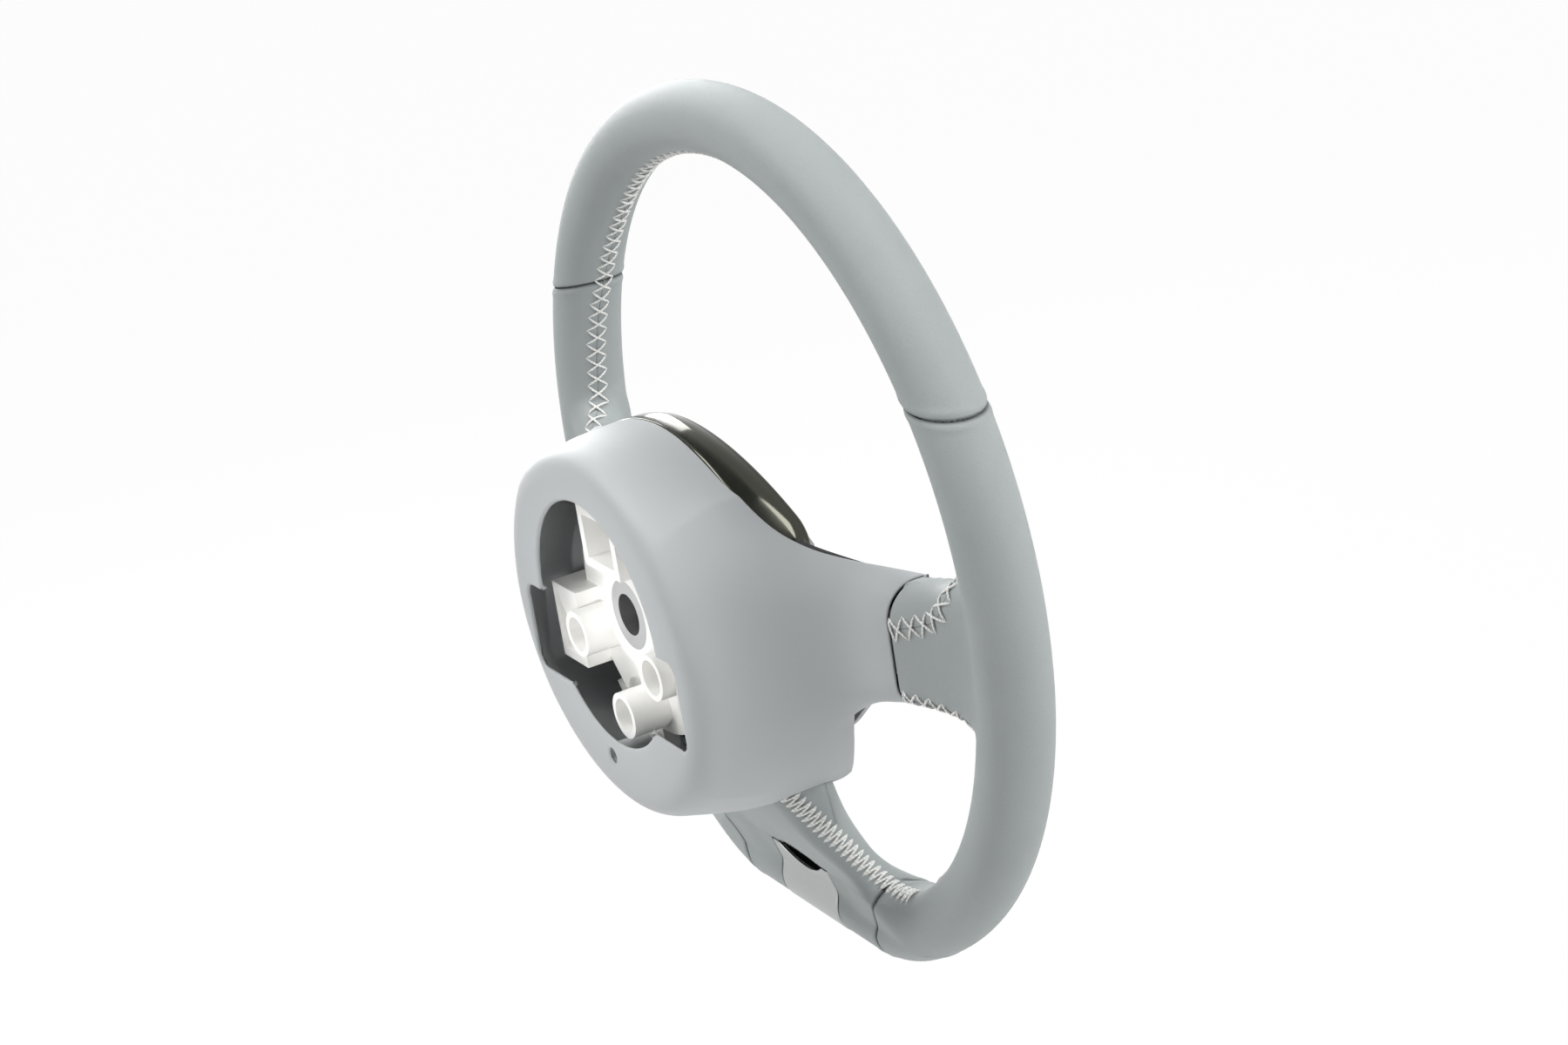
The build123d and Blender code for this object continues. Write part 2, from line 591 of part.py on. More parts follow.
def driver_pad():
    """Soft pad over the airbag: a shell with a rounded front edge."""
    gap = BEZEL_WALL + PAD_GAP
    pad = Pos(0, TRAY_FRONT, 0) * extrude(Plane.XZ * bezel_outline(gap), RIM_SETBACK)
    pad &= behind_front(PAD_PROUD)
    pad = fillet(pad.faces().sort_by(Axis.Y)[0].edges(), PAD_EDGE)
    hollow = Pos(0, TRAY_FRONT + 1, 0) * extrude(Plane.XZ * bezel_outline(gap + PAD_EDGE / 2), RIM_SETBACK)
    return pad - (hollow & behind_front(PAD_PROUD - PAD_WALL))


def airbag_tray():
    """Sheet tray that closes the pad's back and carries the inflator and the guide pins."""
    outline = bezel_outline(BEZEL_WALL + PAD_GAP + TRAY_INSET)
    tray = Pos(0, TRAY_BACK, 0) * extrude(Plane.XZ * outline, TRAY_THICKNESS)
    return tray - drum_along_y(INFLATOR_DIAMETER / 2 + STOP_GAP, 2 * TRAY_FRONT, 0)


def gas_inflator():
    """Flat gas generator that hangs through the tray by its flange."""
    can = drum_along_y(INFLATOR_DIAMETER / 2, INFLATOR_FRONT, INFLATOR_BACK)
    can = fillet(can.edges().group_by(Axis.Y)[-1] + can.edges().group_by(Axis.Y)[0], BEZEL_EDGE)
    return can + drum_along_y(INFLATOR_FLANGE_DIAMETER / 2, TRAY_FRONT - TRAY_THICKNESS, TRAY_FRONT)


def guide_pins():
    """Three headed pins from the tray through the armature's bosses."""
    tail = BOSS_CUP_FLOOR + STOP_GAP + CLIP_THICKNESS + PIN_TAIL
    pins = []
    for x, z in PIN_PLACES:
        pin = drum_along_y(PIN_HEAD_DIAMETER / 2, TRAY_BACK, TRAY_BACK + PIN_HEAD_HEIGHT, x, z)
        pins.append(pin + drum_along_y(PIN_DIAMETER / 2, TRAY_BACK, tail, x, z))
    return Compound(children=pins)


def pin_clips():
    """Three retaining rings behind the bosses' cup floors."""
    front = BOSS_CUP_FLOOR + STOP_GAP
    clips = []
    for x, z in PIN_PLACES:
        ring = drum_along_y(CLIP_DIAMETER / 2, front, front + CLIP_THICKNESS, x, z)
        clips.append(ring - drum_along_y(PIN_DIAMETER / 2, -FAR, FAR, x, z))
    return Compound(children=clips)


def horn_springs():
    """Three coil springs on the pins, between their heads and the bosses."""
    low = TRAY_BACK + PIN_HEAD_HEIGHT + SPRING_WIRE / 2
    high = BOSS_FRONT - SPRING_WIRE / 2
    coil_radius = (SPRING_DIAMETER - SPRING_WIRE) / 2
    path = Helix(pitch=(high - low) / SPRING_TURNS, height=high - low, radius=coil_radius)
    wire = Plane(origin=path @ 0, z_dir=path % 0) * Rectangle(SPRING_WIRE * 0.9, SPRING_WIRE * 0.9)
    coil = Rot(-90, 0, 0) * sweep(wire, path, is_frenet=True)
    return Compound(children=[Pos(x, low, z) * coil for x, z in PIN_PLACES])


def panel_plane(lift):
    """The plane of the right-hand switch panel's face, lifted towards the driver."""
    turn = math.radians(PANEL_TILT)
    along = Vector(math.cos(turn), -math.sin(turn), 0)
    normal = Vector(-math.sin(turn), -math.cos(turn), 0)
    middle = Vector(KEY_CENTRE, behind_rim(PANEL_FACE), SPOKE_MIDDLE)
    return Plane(origin=middle + normal * lift, x_dir=along, z_dir=normal)


def bezel_room():
    """The space round the bezel that its neighbours leave free."""
    return Pos(0, FAR, 0) * extrude(Plane.XZ * bezel_outline(-BEZEL_CLEARANCE), 2 * FAR)


def key_places():
    """The two keys' places on a panel, above and below its middle."""
    return {"upper": KEY_SPACING / 2, "lower": -KEY_SPACING / 2}


def switch_panel(room):
    """The right-hand panel, which fills the front of the wing, with a pocket for each key."""
    face = panel_plane(0)
    panel = extrude(face * Rectangle(WING_END, WING_END), -PANEL_THICKNESS)
    panel &= room
    panel &= block(PANEL_INNER, WING_END - PANEL_CLEARANCE, -FAR, FAR, PANEL_LOW, FAR)
    panel -= bezel_room()
    pocket_depth = KEY_DEPTH + KEY_TRAVEL + KEY_SPARE
    for raise_ in key_places().values():
        size = (KEY_LENGTH + 2 * KEY_CLEARANCE, KEY_HEIGHT + 2 * KEY_CLEARANCE, KEY_CORNER + KEY_CLEARANCE)
        pocket = face * (Pos(0, raise_) * RectangleRounded(*size))
        panel -= extrude(pocket, -pocket_depth)
    return max(panel.solids(), key=lambda solid: solid.volume)


def switch_key(raise_):
    """One key of the right-hand panel, standing a little proud of it."""
    outline = Pos(0, raise_) * RectangleRounded(KEY_LENGTH, KEY_HEIGHT, KEY_CORNER)
    return extrude(panel_plane(KEY_PROUD) * outline, -(KEY_PROUD + KEY_DEPTH))


def front_apron(room):
    """Plate that closes the front of the cover below the panels, with a lip turned back along its top."""
    front = behind_rim(APRON_FRONT)
    top = PANEL_LOW - APRON_CLEARANCE
    plate = block(-FAR, FAR, front, front + APRON_THICKNESS, -FAR, top)
    plate += block(-FAR, FAR, front, front + APRON_LIP, top - APRON_THICKNESS, top)
    plate &= room
    plate -= bezel_room()
    plate -= lower_web(-APRON_CLEARANCE)
    return max(plate.solids(), key=lambda solid: solid.volume)


def lower_trim():
    """Trim strip on the driver's side of the lower web."""
    sections = []
    for z, _, front, _ in web_stations()[:-1]:
        depth = 4 * TRIM_PROUD
        plane = Plane(origin=(0, front - TRIM_PROUD + depth / 2, z), x_dir=(1, 0, 0), z_dir=(0, 0, 1))
        sections.append(plane * RectangleRounded(TRIM_WIDTH, depth, TRIM_PROUD))
    strip = loft(sections) - lower_web(-TRIM_CLEARANCE)
    return strip - block(-FAR, FAR, -FAR, FAR, COVER_FRONT_BOTTOM - APRON_CLEARANCE, FAR)


def named_skins(skin):
    """The four leather pieces by name, told apart by where they lie."""
    solids = sorted(skin.solids(), key=lambda solid: solid.volume)[-4:]
    by_height = sorted(solids, key=lambda solid: solid.center().Z)
    sides = sorted(by_height[1:3], key=lambda solid: solid.center().X)
    return {
        "upper_leather": by_height[3],
        "lower_leather": by_height[0],
        "left_leather": sides[0],
        "right_leather": sides[1],
    }


def main():
    """Builds every piece and writes one file for each."""
    casting = armature()
    slot = clasp_slot()
    outside = grip(0)
    core = grip(LEATHER)
    clasp = (clasp_bar(0) - clasp_bar(CLASP_WALL)) & clasp_room(0)
    skin = outside - core - seams() - clasp_room(CLASP_GAP) - slot
    foam = core - casting - clasp - slot
    room = cover_envelope(COVER_WALL + PANEL_CLEARANCE)
    panel = switch_panel(room)
    parts = {
        "armature": casting,
        "hub_insert": hub_insert(),
        "rim_foam": max(foam.solids(), key=lambda solid: solid.volume),
        "bottom_clasp": max((clasp - slot).solids(), key=lambda solid: solid.volume),
        "rear_cover": rear_cover(),
        "cover_screw": cover_screw(),
        "front_bezel": front_bezel(),
        "driver_pad": driver_pad(),
        "airbag_tray": airbag_tray(),
        "gas_inflator": gas_inflator(),
        "guide_pins": guide_pins(),
        "pin_clips": pin_clips(),
        "horn_springs": horn_springs(),
        "lower_trim": lower_trim(),
        "front_apron": front_apron(room),
        "right_switch_panel": panel,
        "left_switch_panel": mirror(panel, Plane.YZ),
    }
    parts.update(named_skins(skin))
    for place, raise_ in key_places().items():
        key = switch_key(raise_)
        parts[f"right_{place}_key"] = key
        parts[f"left_{place}_key"] = mirror(key, Plane.YZ)
    os.makedirs("parts", exist_ok=True)
    for name, shape in parts.items():
        export_step(shape, f"parts/{name}.step")


main()
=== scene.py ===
"""Looks of a flat-bottomed, leather covered three-spoke car steering wheel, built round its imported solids.

Shapes are worked out in millimetres in the part's own frame: the origin is the mouth of the column bore, +Y
points down the column and +Z to twelve o'clock. Meshes are written in metres.
"""

from __future__ import annotations

import logging
import math
from dataclasses import dataclass, field
from enum import Enum

import bmesh
import bpy
import numpy as np
from mathutils import Matrix, Vector

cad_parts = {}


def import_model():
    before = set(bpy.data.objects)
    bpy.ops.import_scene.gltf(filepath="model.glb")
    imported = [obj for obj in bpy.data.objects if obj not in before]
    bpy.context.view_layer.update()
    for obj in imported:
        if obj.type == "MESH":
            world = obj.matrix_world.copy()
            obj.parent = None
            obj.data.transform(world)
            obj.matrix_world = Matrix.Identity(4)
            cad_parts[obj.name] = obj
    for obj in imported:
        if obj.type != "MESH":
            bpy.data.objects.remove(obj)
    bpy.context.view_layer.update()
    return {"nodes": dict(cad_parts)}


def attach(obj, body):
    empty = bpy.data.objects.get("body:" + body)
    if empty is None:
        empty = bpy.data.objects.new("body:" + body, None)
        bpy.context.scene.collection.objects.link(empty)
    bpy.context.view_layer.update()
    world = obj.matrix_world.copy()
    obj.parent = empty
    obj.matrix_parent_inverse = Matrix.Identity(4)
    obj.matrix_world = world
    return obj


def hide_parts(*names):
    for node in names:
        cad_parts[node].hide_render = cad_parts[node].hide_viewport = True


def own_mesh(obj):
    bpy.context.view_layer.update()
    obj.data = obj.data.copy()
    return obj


LOG = logging.getLogger("steering_wheel")
MM = 0.001
FULL_TURN = 2 * math.pi
# Stands for the distance to a line that is out of reach.
FAR = 99.0
Array = np.ndarray


def smooth_union(first: Array, second: Array, reach: float) -> Array:
    """Joins two distance fields with a fillet: the smaller one, less reach*h*(1-h) where both are near.

    Args:
        first: distances to one shape.
        second: distances to the other shape.
        reach: how far apart the distances may be and still blend.

    Returns:
        Distances to the blended shape.
    """
    h = np.clip(0.5 + 0.5 * (second - first) / reach, 0.0, 1.0)
    return second * (1 - h) + first * h - reach * h * (1 - h)


def rounded_box(u: Array, v: Array, low: tuple, high: tuple, radii: tuple) -> Array:
    """Distance to a rectangle whose corners have radii of their own.

    Args:
        u: first coordinates.
        v: second coordinates.
        low: lowest u and v of the rectangle.
        high: highest u and v of the rectangle.
        radii: corner radii at (high u, high v), (low u, high v), (low u, low v) and (high u, low v).

    Returns:
        Signed distance: length of the outer part of q plus its largest inner part, less the corner's radius.
    """
    mid_u, mid_v = (low[0] + high[0]) / 2, (low[1] + high[1]) / 2
    right, upper = u > mid_u, v > mid_v
    radius = np.where(right, np.where(upper, radii[0], radii[3]), np.where(upper, radii[1], radii[2]))
    qu = np.abs(u - mid_u) - (high[0] - low[0]) / 2 + radius
    qv = np.abs(v - mid_v) - (high[1] - low[1]) / 2 + radius
    outside = np.hypot(np.maximum(qu, 0), np.maximum(qv, 0))
    return outside + np.minimum(np.maximum(qu, qv), 0) - radius


def smooth_track(at: Array, stops: list, values: list) -> Array:
    """A value that runs smoothly through given stops: cubic pieces whose slopes are those of the neighbours.

    Args:
        at: where the value is wanted.
        stops: rising places of the given values.
        values: the values there.

    Returns:
        The value at each place, held level past both ends.
    """
    x, y = np.asarray(stops, float), np.asarray(values, float)
    slope = np.gradient(y, x)
    t = np.clip(at, x[0], x[-1])
    k = np.clip(np.searchsorted(x, t, side="right") - 1, 0, len(x) - 2)
    step = x[k + 1] - x[k]
    s = (t - x[k]) / step
    start = y[k] * (1 + 2 * s) * (1 - s) ** 2 + slope[k] * step * s * (1 - s) ** 2
    end = y[k + 1] * s**2 * (3 - 2 * s) + slope[k + 1] * step * s**2 * (s - 1)
    return start + end


def ease(t: Array) -> Array:
    """Runs from nought to one with level ends, as t^2*(3-2t), and is held past both ends."""
    t = np.clip(t, 0, 1)
    return t**2 * (3 - 2 * t)


def oval(a: Array, b: Array, half_a: Array, half_b: Array) -> Array:
    """Distance to an ellipse round the origin: k0*(k0-1)/k1 of its scaled radii."""
    k0 = np.hypot(a / half_a, b / half_b)
    k1 = np.hypot(a / half_a**2, b / half_b**2)
    return k0 * (k0 - 1) / np.maximum(k1, 1e-6)


def run_along(line: Array) -> Array:
    """How far along a line each of its points lies."""
    return np.concatenate([[0.0], np.cumsum(np.linalg.norm(np.diff(line, axis=0), axis=1))])


def walk(line: Array, run: Array, at: Array) -> Array:
    """The points of a line at given places of its run."""
    return np.stack([np.interp(at, run, line[:, k]) for k in range(line.shape[1])], -1)


def roll(distance: Array, radius: float) -> Array:
    """How far a turned-in edge lies below the surface: a quarter circle over its radius, nothing beyond."""
    return radius * (1 - np.sqrt(1 - np.clip(1 - distance / radius, 0, 1) ** 2))


def unit(vectors: Array) -> Array:
    """The vectors at length one."""
    return vectors / np.maximum(np.linalg.norm(vectors, axis=-1, keepdims=True), 1e-12)


def grid_faces(rows: int, columns: int, wrap_rows: bool = False, wrap_columns: bool = False) -> Array:
    """Quads between the neighbours of a grid of points, numbered row by row.

    Args:
        rows: number of rows of points.
        columns: number of points in a row.
        wrap_rows: whether the last row joins the first.
        wrap_columns: whether the last column joins the first.

    Returns:
        One row of four point numbers for each quad.
    """
    r = np.arange(rows if wrap_rows else rows - 1)[:, None]
    c = np.arange(columns if wrap_columns else columns - 1)[None, :]
    r2, c2 = (r + 1) % rows, (c + 1) % columns
    corners = (r * columns + c, r * columns + c2, r2 * columns + c2, r2 * columns + c)
    return np.stack(np.broadcast_arrays(*corners), -1).reshape(-1, 4)


def closed_tube(rings: Array) -> tuple:
    """Points and faces of a tube through rings of points, closed at both ends."""
    rows, columns = rings.shape[:2]
    last = (rows - 1) * columns
    faces = grid_faces(rows, columns, wrap_columns=True).tolist()
    faces += [list(range(columns)), list(range(last, last + columns))]
    return rings.reshape(-1, 3), faces


def join_meshes(parts: list) -> tuple:
    """Joins pairs of points and faces into one pair."""
    faces, start = [], 0
    for points, polygons in parts:
        faces += [[corner + start for corner in polygon] for polygon in polygons]
        start += len(points)
    return np.concatenate([points for points, _ in parts]), faces


def new_piece(
    name: str, points: Array, faces: list, dress: bpy.types.Material | None = None, outward: bool = True
) -> bpy.types.Object:
    """Makes a smooth-shaded mesh object at the origin.

    Args:
        name: the piece's name.
        points: vertices in millimetres.
        faces: vertex numbers of each face, as lists.
        dress: the piece's material.
        outward: whether to turn all faces of closed shells outwards.

    Returns:
        The new object, linked to the scene.
    """
    mesh = bpy.data.meshes.new(name)
    mesh.from_pydata((np.asarray(points, float).reshape(-1, 3) * MM).tolist(), [], faces)
    mesh.update()
    if outward:
        work = bmesh.new()
        work.from_mesh(mesh)
        bmesh.ops.recalc_face_normals(work, faces=work.faces)
        work.to_mesh(mesh)
        work.free()
    mesh.polygons.foreach_set("use_smooth", np.ones(len(mesh.polygons), bool))
    if dress:
        mesh.materials.append(dress)
    piece = bpy.data.objects.new(name, mesh)
    bpy.context.scene.collection.objects.link(piece)
    return piece


def thicken(piece: bpy.types.Object, wall: float) -> None:
    """Gives a skin a wall of some millimetres on its inner side."""
    solid = piece.modifiers.new("wall", "SOLIDIFY")
    solid.thickness, solid.offset, solid.use_rim = wall * MM, -1.0, True


def read_points(mesh: bpy.types.Mesh) -> Array:
    """A mesh's vertices in millimetres."""
    flat = np.empty(len(mesh.vertices) * 3, np.float32)
    mesh.vertices.foreach_get("co", flat)
    return flat.reshape(-1, 3).astype(float) / MM


def set_attribute(piece: bpy.types.Object, name: str, values: Array) -> None:
    """Stores one number for each vertex under a name that a material can read."""
    layer = piece.data.attributes.new(name, "FLOAT", "POINT")
    layer.data.foreach_set("value", np.asarray(values, np.float32))


@dataclass
class Skin:
    """A triangle mesh that is laid onto a distance field and split along lines."""

    points: Array
    tris: Array

    @classmethod
    def remeshed(cls, points: Array, faces: list, voxel: float) -> Skin:
        """Joins closed, overlapping shells into one even skin.

        Args:
            points: vertices of all shells in millimetres.
            faces: their faces as lists.
            voxel: size of the new faces.

        Returns:
            The skin.
        """
        rough = new_piece("rough", points, faces)
        remesh = rough.modifiers.new("even", "REMESH")
        remesh.mode, remesh.voxel_size = "VOXEL", voxel * MM
        even = bpy.data.meshes.new_from_object(rough.evaluated_get(bpy.context.evaluated_depsgraph_get()))
        bpy.data.objects.remove(rough)
        even.calc_loop_triangles()
        tris = np.empty(len(even.loop_triangles) * 3, np.int32)
        even.loop_triangles.foreach_get("vertices", tris)
        return cls(read_points(even), tris.reshape(-1, 3).astype(np.int64))

    def settle(self, shape: object, rounds: int = 6) -> None:
        """Lays the skin onto a field that has a settle method."""
        self.points = shape.settle(self.points, rounds=rounds)

    def split(self, line: object, level: float = 0.0) -> None:
        """Adds edges where a function of the points reaches a level, straight across each triangle.

        A triangle with one crossed side becomes two, and one with two crossed sides becomes three. A side is
        crossed at g0/(g0-g1) of its length. Points within the snap count as on the line, and values past the
        reach as away from it.

        Args:
            line: function from points to values.
            level: the value to cut at.
        """
        snap, reach = 0.06, 40
        g = line(self.points) - level
        g = np.where(np.abs(g) < snap, 0.0, g)
        total = len(self.points)
        ends = np.stack([self.tris, np.roll(self.tris, -1, 1)], -1)
        first, second = g[ends[..., 0]], g[ends[..., 1]]
        crossed = (first * second < 0) & (np.maximum(np.abs(first), np.abs(second)) < reach)
        ends = np.sort(ends, -1)
        sides, back = np.unique((ends[..., 0] * total + ends[..., 1])[crossed], return_inverse=True)
        a, b = sides // total, sides % total
        share = (g[a] / (g[a] - g[b]))[:, None]
        number = np.full(crossed.shape, -1)
        number[crossed] = total + back
        count = crossed.sum(1)
        made = [self.tris[count == 0]]
        for many, start in ((1, np.argmax(crossed, 1)), (2, np.argmin(crossed, 1))):
            rows = np.flatnonzero(count == many)
            order = (start[rows, None] + np.arange(3)) % 3
            p, q, r = self.tris[rows[:, None], order].T
            m0, m1, m2 = number[rows[:, None], order].T
            parts = [(p, m0, r), (m0, q, r)] if many == 1 else [(m1, r, m2), (p, q, m1), (p, m1, m2)]
            made += [np.stack(part, -1) for part in parts]
        self.tris = np.concatenate(made)
        self.points = np.concatenate([self.points, self.points[a] * (1 - share) + self.points[b] * share])

    def centres(self) -> Array:
        """The middle of each triangle."""
        return self.points[self.tris].mean(1)

    def piece(
        self, name: str, chosen: Array, dress: bpy.types.Material, **values: Array
    ) -> bpy.types.Object:
        """Makes a piece of some triangles.

        Args:
            name: the piece's name.
            chosen: which triangles.
            dress: the piece's material.
            values: vertex values to store by name.

        Returns:
            The piece.
        """
        used, fresh = np.unique(self.tris[chosen], return_inverse=True)
        made = new_piece(name, self.points[used], fresh.reshape(-1, 3).tolist(), dress, outward=False)
        for key, value in values.items():
            set_attribute(made, key, value[used])
        return made


class Settling:
    """What every distance field shares: its slope, and how points are laid onto it."""

    probe = 0.25
    longest_step = 3.0

    def value(self, p: Array) -> Array:
        """Distance to the shape."""
        raise NotImplementedError

    def normal(self, p: Array) -> Array:
        """Outward direction: the field's slope over half a millimetre."""
        return unit(np.stack([self.value(p + s) - self.value(p - s) for s in np.eye(3) * self.probe], -1))

    def settle(self, p: Array, lift: float | Array = 0.0, rounds: int = 6) -> Array:
        """Moves points onto the shape, or a lift above it, along the field's slope.

        Args:
            p: points near the shape.
            lift: height above it.
            rounds: number of Newton steps, none over the longest step.

        Returns:
            The moved points.
        """
        q = np.array(p, float)
        for _ in range(rounds):
            step = np.clip(self.value(q) - lift, -self.longest_step, self.longest_step)
            q -= self.normal(q) * step[:, None]
        return q


class Wire:
    """One shader socket, with arithmetic that adds Math nodes."""

    def __init__(self, tree: bpy.types.NodeTree, socket: bpy.types.NodeSocket) -> None:
        """Holds the socket and the tree that it belongs to."""
        self.tree = tree
        self.socket = socket

    def _math(self, operation: str, first: object, second: object) -> Wire:
        """Adds one Math node on two values."""
        node = self.tree.nodes.new("ShaderNodeMath")
        node.operation = operation
        for slot, value in zip(node.inputs, (first, second)):
            if isinstance(value, Wire):
                self.tree.links.new(value.socket, slot)
            else:
                slot.default_value = value
        return Wire(self.tree, node.outputs[0])

    def __add__(self, other: object) -> Wire:
        """Sum."""
        return self._math("ADD", self, other)

    __radd__ = __add__

    def __sub__(self, other: object) -> Wire:
        """Difference."""
        return self._math("SUBTRACT", self, other)

    def __rsub__(self, other: object) -> Wire:
        """Difference the other way round."""
        return self._math("SUBTRACT", other, self)

    def __mul__(self, other: object) -> Wire:
        """Product."""
        return self._math("MULTIPLY", self, other)


class Coat:
    """A new material with one Principled shader, and the means to add nodes to it."""

    def __init__(self, name: str, **constants: object) -> None:
        """Starts the material and sets values that are the same all over it.

        Args:
            name: the material's name.
            constants: socket names with underscores for spaces, and their values.
        """
        self.material = bpy.data.materials.new(name)
        self.material.use_nodes = True
        self.tree = self.material.node_tree
        self.shader = self.tree.nodes["Principled BSDF"]
        for key, value in constants.items():
            self.shader.inputs[key.replace("_", " ")].default_value = value

    def node(
        self, kind: str, settings: dict | None = None, inputs: dict | None = None, output: object = 0
    ) -> Wire:
        """Adds any node.

        Args:
            kind: the node's type without its ShaderNode prefix.
            settings: properties that are set first.
            inputs: values or wires for its sockets, by name or number.
            output: name or number of the socket that is handed back.

        Returns:
            The chosen output socket.
        """
        made = self.tree.nodes.new("ShaderNode" + kind)
        for key, value in (settings or {}).items():
            setattr(made, key, value)
        for key, value in (inputs or {}).items():
            if isinstance(value, Wire):
                self.tree.links.new(value.socket, made.inputs[key])
            else:
                made.inputs[key].default_value = value
        return Wire(self.tree, made.outputs[output])

    def feed(self, socket: str, wire: Wire) -> None:
        """Links a wire to one of the shader's sockets."""
        self.tree.links.new(wire.socket, self.shader.inputs[socket])

    def place(self) -> Wire:
        """The point on the piece, in metres in its own frame."""
        return self.node("TexCoord", output="Object")

    def noise(self, scale: float, detail: float, rough: float, where: Wire | None = None) -> Wire:
        """Cloudy values from 0 to 1, at a number of clouds for each metre."""
        inputs = {"Vector": where or self.place(), "Scale": scale, "Detail": detail, "Roughness": rough}
        return self.node("TexNoise", inputs=inputs, output="Fac")

    def mix(self, share: object, first: object, second: object) -> Wire:
        """A colour between two colours.

        Args:
            share: how much of the second colour, as a number or a wire.
            first: colour or wire.
            second: colour or wire.

        Returns:
            The mixed colour.
        """
        settings = {"data_type": "RGBA", "clamp_factor": True}
        return self.node("Mix", settings, {0: share, 6: first, 7: second}, output=2)

    def bump(self, height: Wire, strength: float, distance: float) -> None:
        """Feeds the shader's normal from a height, with the distance in metres."""
        normal = self.node("Bump", inputs={"Height": height, "Strength": strength, "Distance": distance})
        self.feed("Normal", normal)


def rgba(colour: tuple, factor: float = 1.0) -> tuple:
    """A colour with its brightness scaled and full cover."""
    return tuple(min(1.0, c * factor) for c in colour) + (1.0,)


@dataclass(frozen=True)
class Leather:
    """Fine-grained matte leather, with painted shade darkening its seams where the piece's painted-shade
    attribute is high.
    """

    name: str = "grip_leather"
    colour: tuple = (0.37, 0.40, 0.40)
    roughness: float = 0.52
    pebble: float = 1500.0

    def material(self) -> bpy.types.Material:
        """Makes the leather: pebbles between fine valleys, cloudy colour, and painted shade in the seams.

        Returns:
            The finished material.
        """
        coat = Coat(self.name, Specular_IOR_Level=0.25)
        cloud = coat.noise(28.0, 3.0, 0.55)
        fine = coat.noise(900.0, 2.0, 0.6)
        pebbles = {"Vector": coat.place(), "Scale": self.pebble}
        cells = coat.node("TexVoronoi", {"feature": "DISTANCE_TO_EDGE"}, pebbles)
        valley = coat.node("MapRange", None, {"Value": cells, "From Max": 0.12}, output="Result")
        # Painted shade: the seams, the stubs' ends and the clasp's edge are darkened towards a sixth of the
        # leather's colour.
        crease = coat.node("Attribute", {"attribute_name": "crease"}, output="Fac")
        tone = coat.mix(cloud, rgba(self.colour, 0.94), rgba(self.colour, 1.06))
        worn = coat.mix((1 - valley) * 0.18, tone, rgba(self.colour, 0.55))
        coat.feed("Base Color", coat.mix(crease, worn, rgba(self.colour, 0.16)))
        coat.feed("Roughness", self.roughness + (fine - 0.5) * 0.14 + (1 - valley) * 0.1)
        coat.bump(valley * 0.7 + fine * 0.4, 0.28, 0.00018)
        return coat.material


@dataclass(frozen=True)
class SoftPlastic:
    """Matte moulded plastic with a spark-eroded grain."""

    name: str
    colour: tuple
    roughness: float = 0.5
    grain: float = 2600.0
    depth: float = 0.00006

    def material(self) -> bpy.types.Material:
        """Makes the plastic: two sizes of grain and a faint cloud in its colour.

        Returns:
            The finished material.
        """
        coat = Coat(self.name, Specular_IOR_Level=0.25)
        coarse = coat.noise(self.grain, 2.0, 0.6)
        fine = coat.noise(self.grain * 2.7, 1.0, 0.5)
        cloud = coat.noise(16.0, 2.0, 0.5)
        coat.feed("Base Color", coat.mix(cloud, rgba(self.colour, 0.965), rgba(self.colour, 1.035)))
        coat.feed("Roughness", self.roughness + (coarse - 0.5) * 0.12)
        coat.bump(coarse * 0.7 + fine * 0.3, 0.35, self.depth)
        return coat.material


@dataclass(frozen=True)
class Metal:
    """Bare, cast, plated or satin metal."""

    name: str
    colour: tuple
    roughness: float
    cast: float = 0.0
    brushed: float = 0.0
    metallic: float = 1.0

    def material(self) -> bpy.types.Material:
        """Makes the metal: cloudy roughness, with cast pits or brushed lines where asked.

        Returns:
            The finished material.
        """
        coat = Coat(self.name, Metallic=self.metallic)
        cloud = coat.noise(60.0, 3.0, 0.6)
        pits = coat.noise(1300.0, 3.0, 0.65)
        stretch = coat.node("Mapping", None, {"Vector": coat.place(), "Scale": (40.0, 2500.0, 2500.0)})
        lines = coat.noise(1.0, 1.0, 0.4, stretch)
        coat.feed("Base Color", coat.mix(cloud, rgba(self.colour, 0.93), rgba(self.colour, 1.04)))
        coat.feed("Roughness", self.roughness + (cloud - 0.5) * 0.1 + (lines - 0.5) * self.brushed * 0.25)
        if self.cast or self.brushed:
            coat.bump(pits * self.cast + lines * self.brushed * 0.3, 0.3, 0.00008)
        return coat.material


@dataclass(frozen=True)
class Thread:
    """Twisted sewing thread."""

    name: str = "sewing_thread"
    colour: tuple = (0.97, 0.97, 0.94)

    def material(self) -> bpy.types.Material:
        """Makes the thread: slanting strands along each stitch.

        Returns:
            The finished material.
        """
        coat = Coat(self.name, Roughness=0.6, Sheen_Weight=0.25, Specular_IOR_Level=0.3)
        along = coat.node("Attribute", {"attribute_name": "twist"}, output="Fac")
        strand = coat.node("Math", {"operation": "SINE"}, {0: along * FULL_TURN}) * 0.5 + 0.5
        coat.feed("Base Color", coat.mix(strand, rgba(self.colour, 0.78), rgba(self.colour)))
        coat.bump(strand, 0.5, 0.00012)
        return coat.material


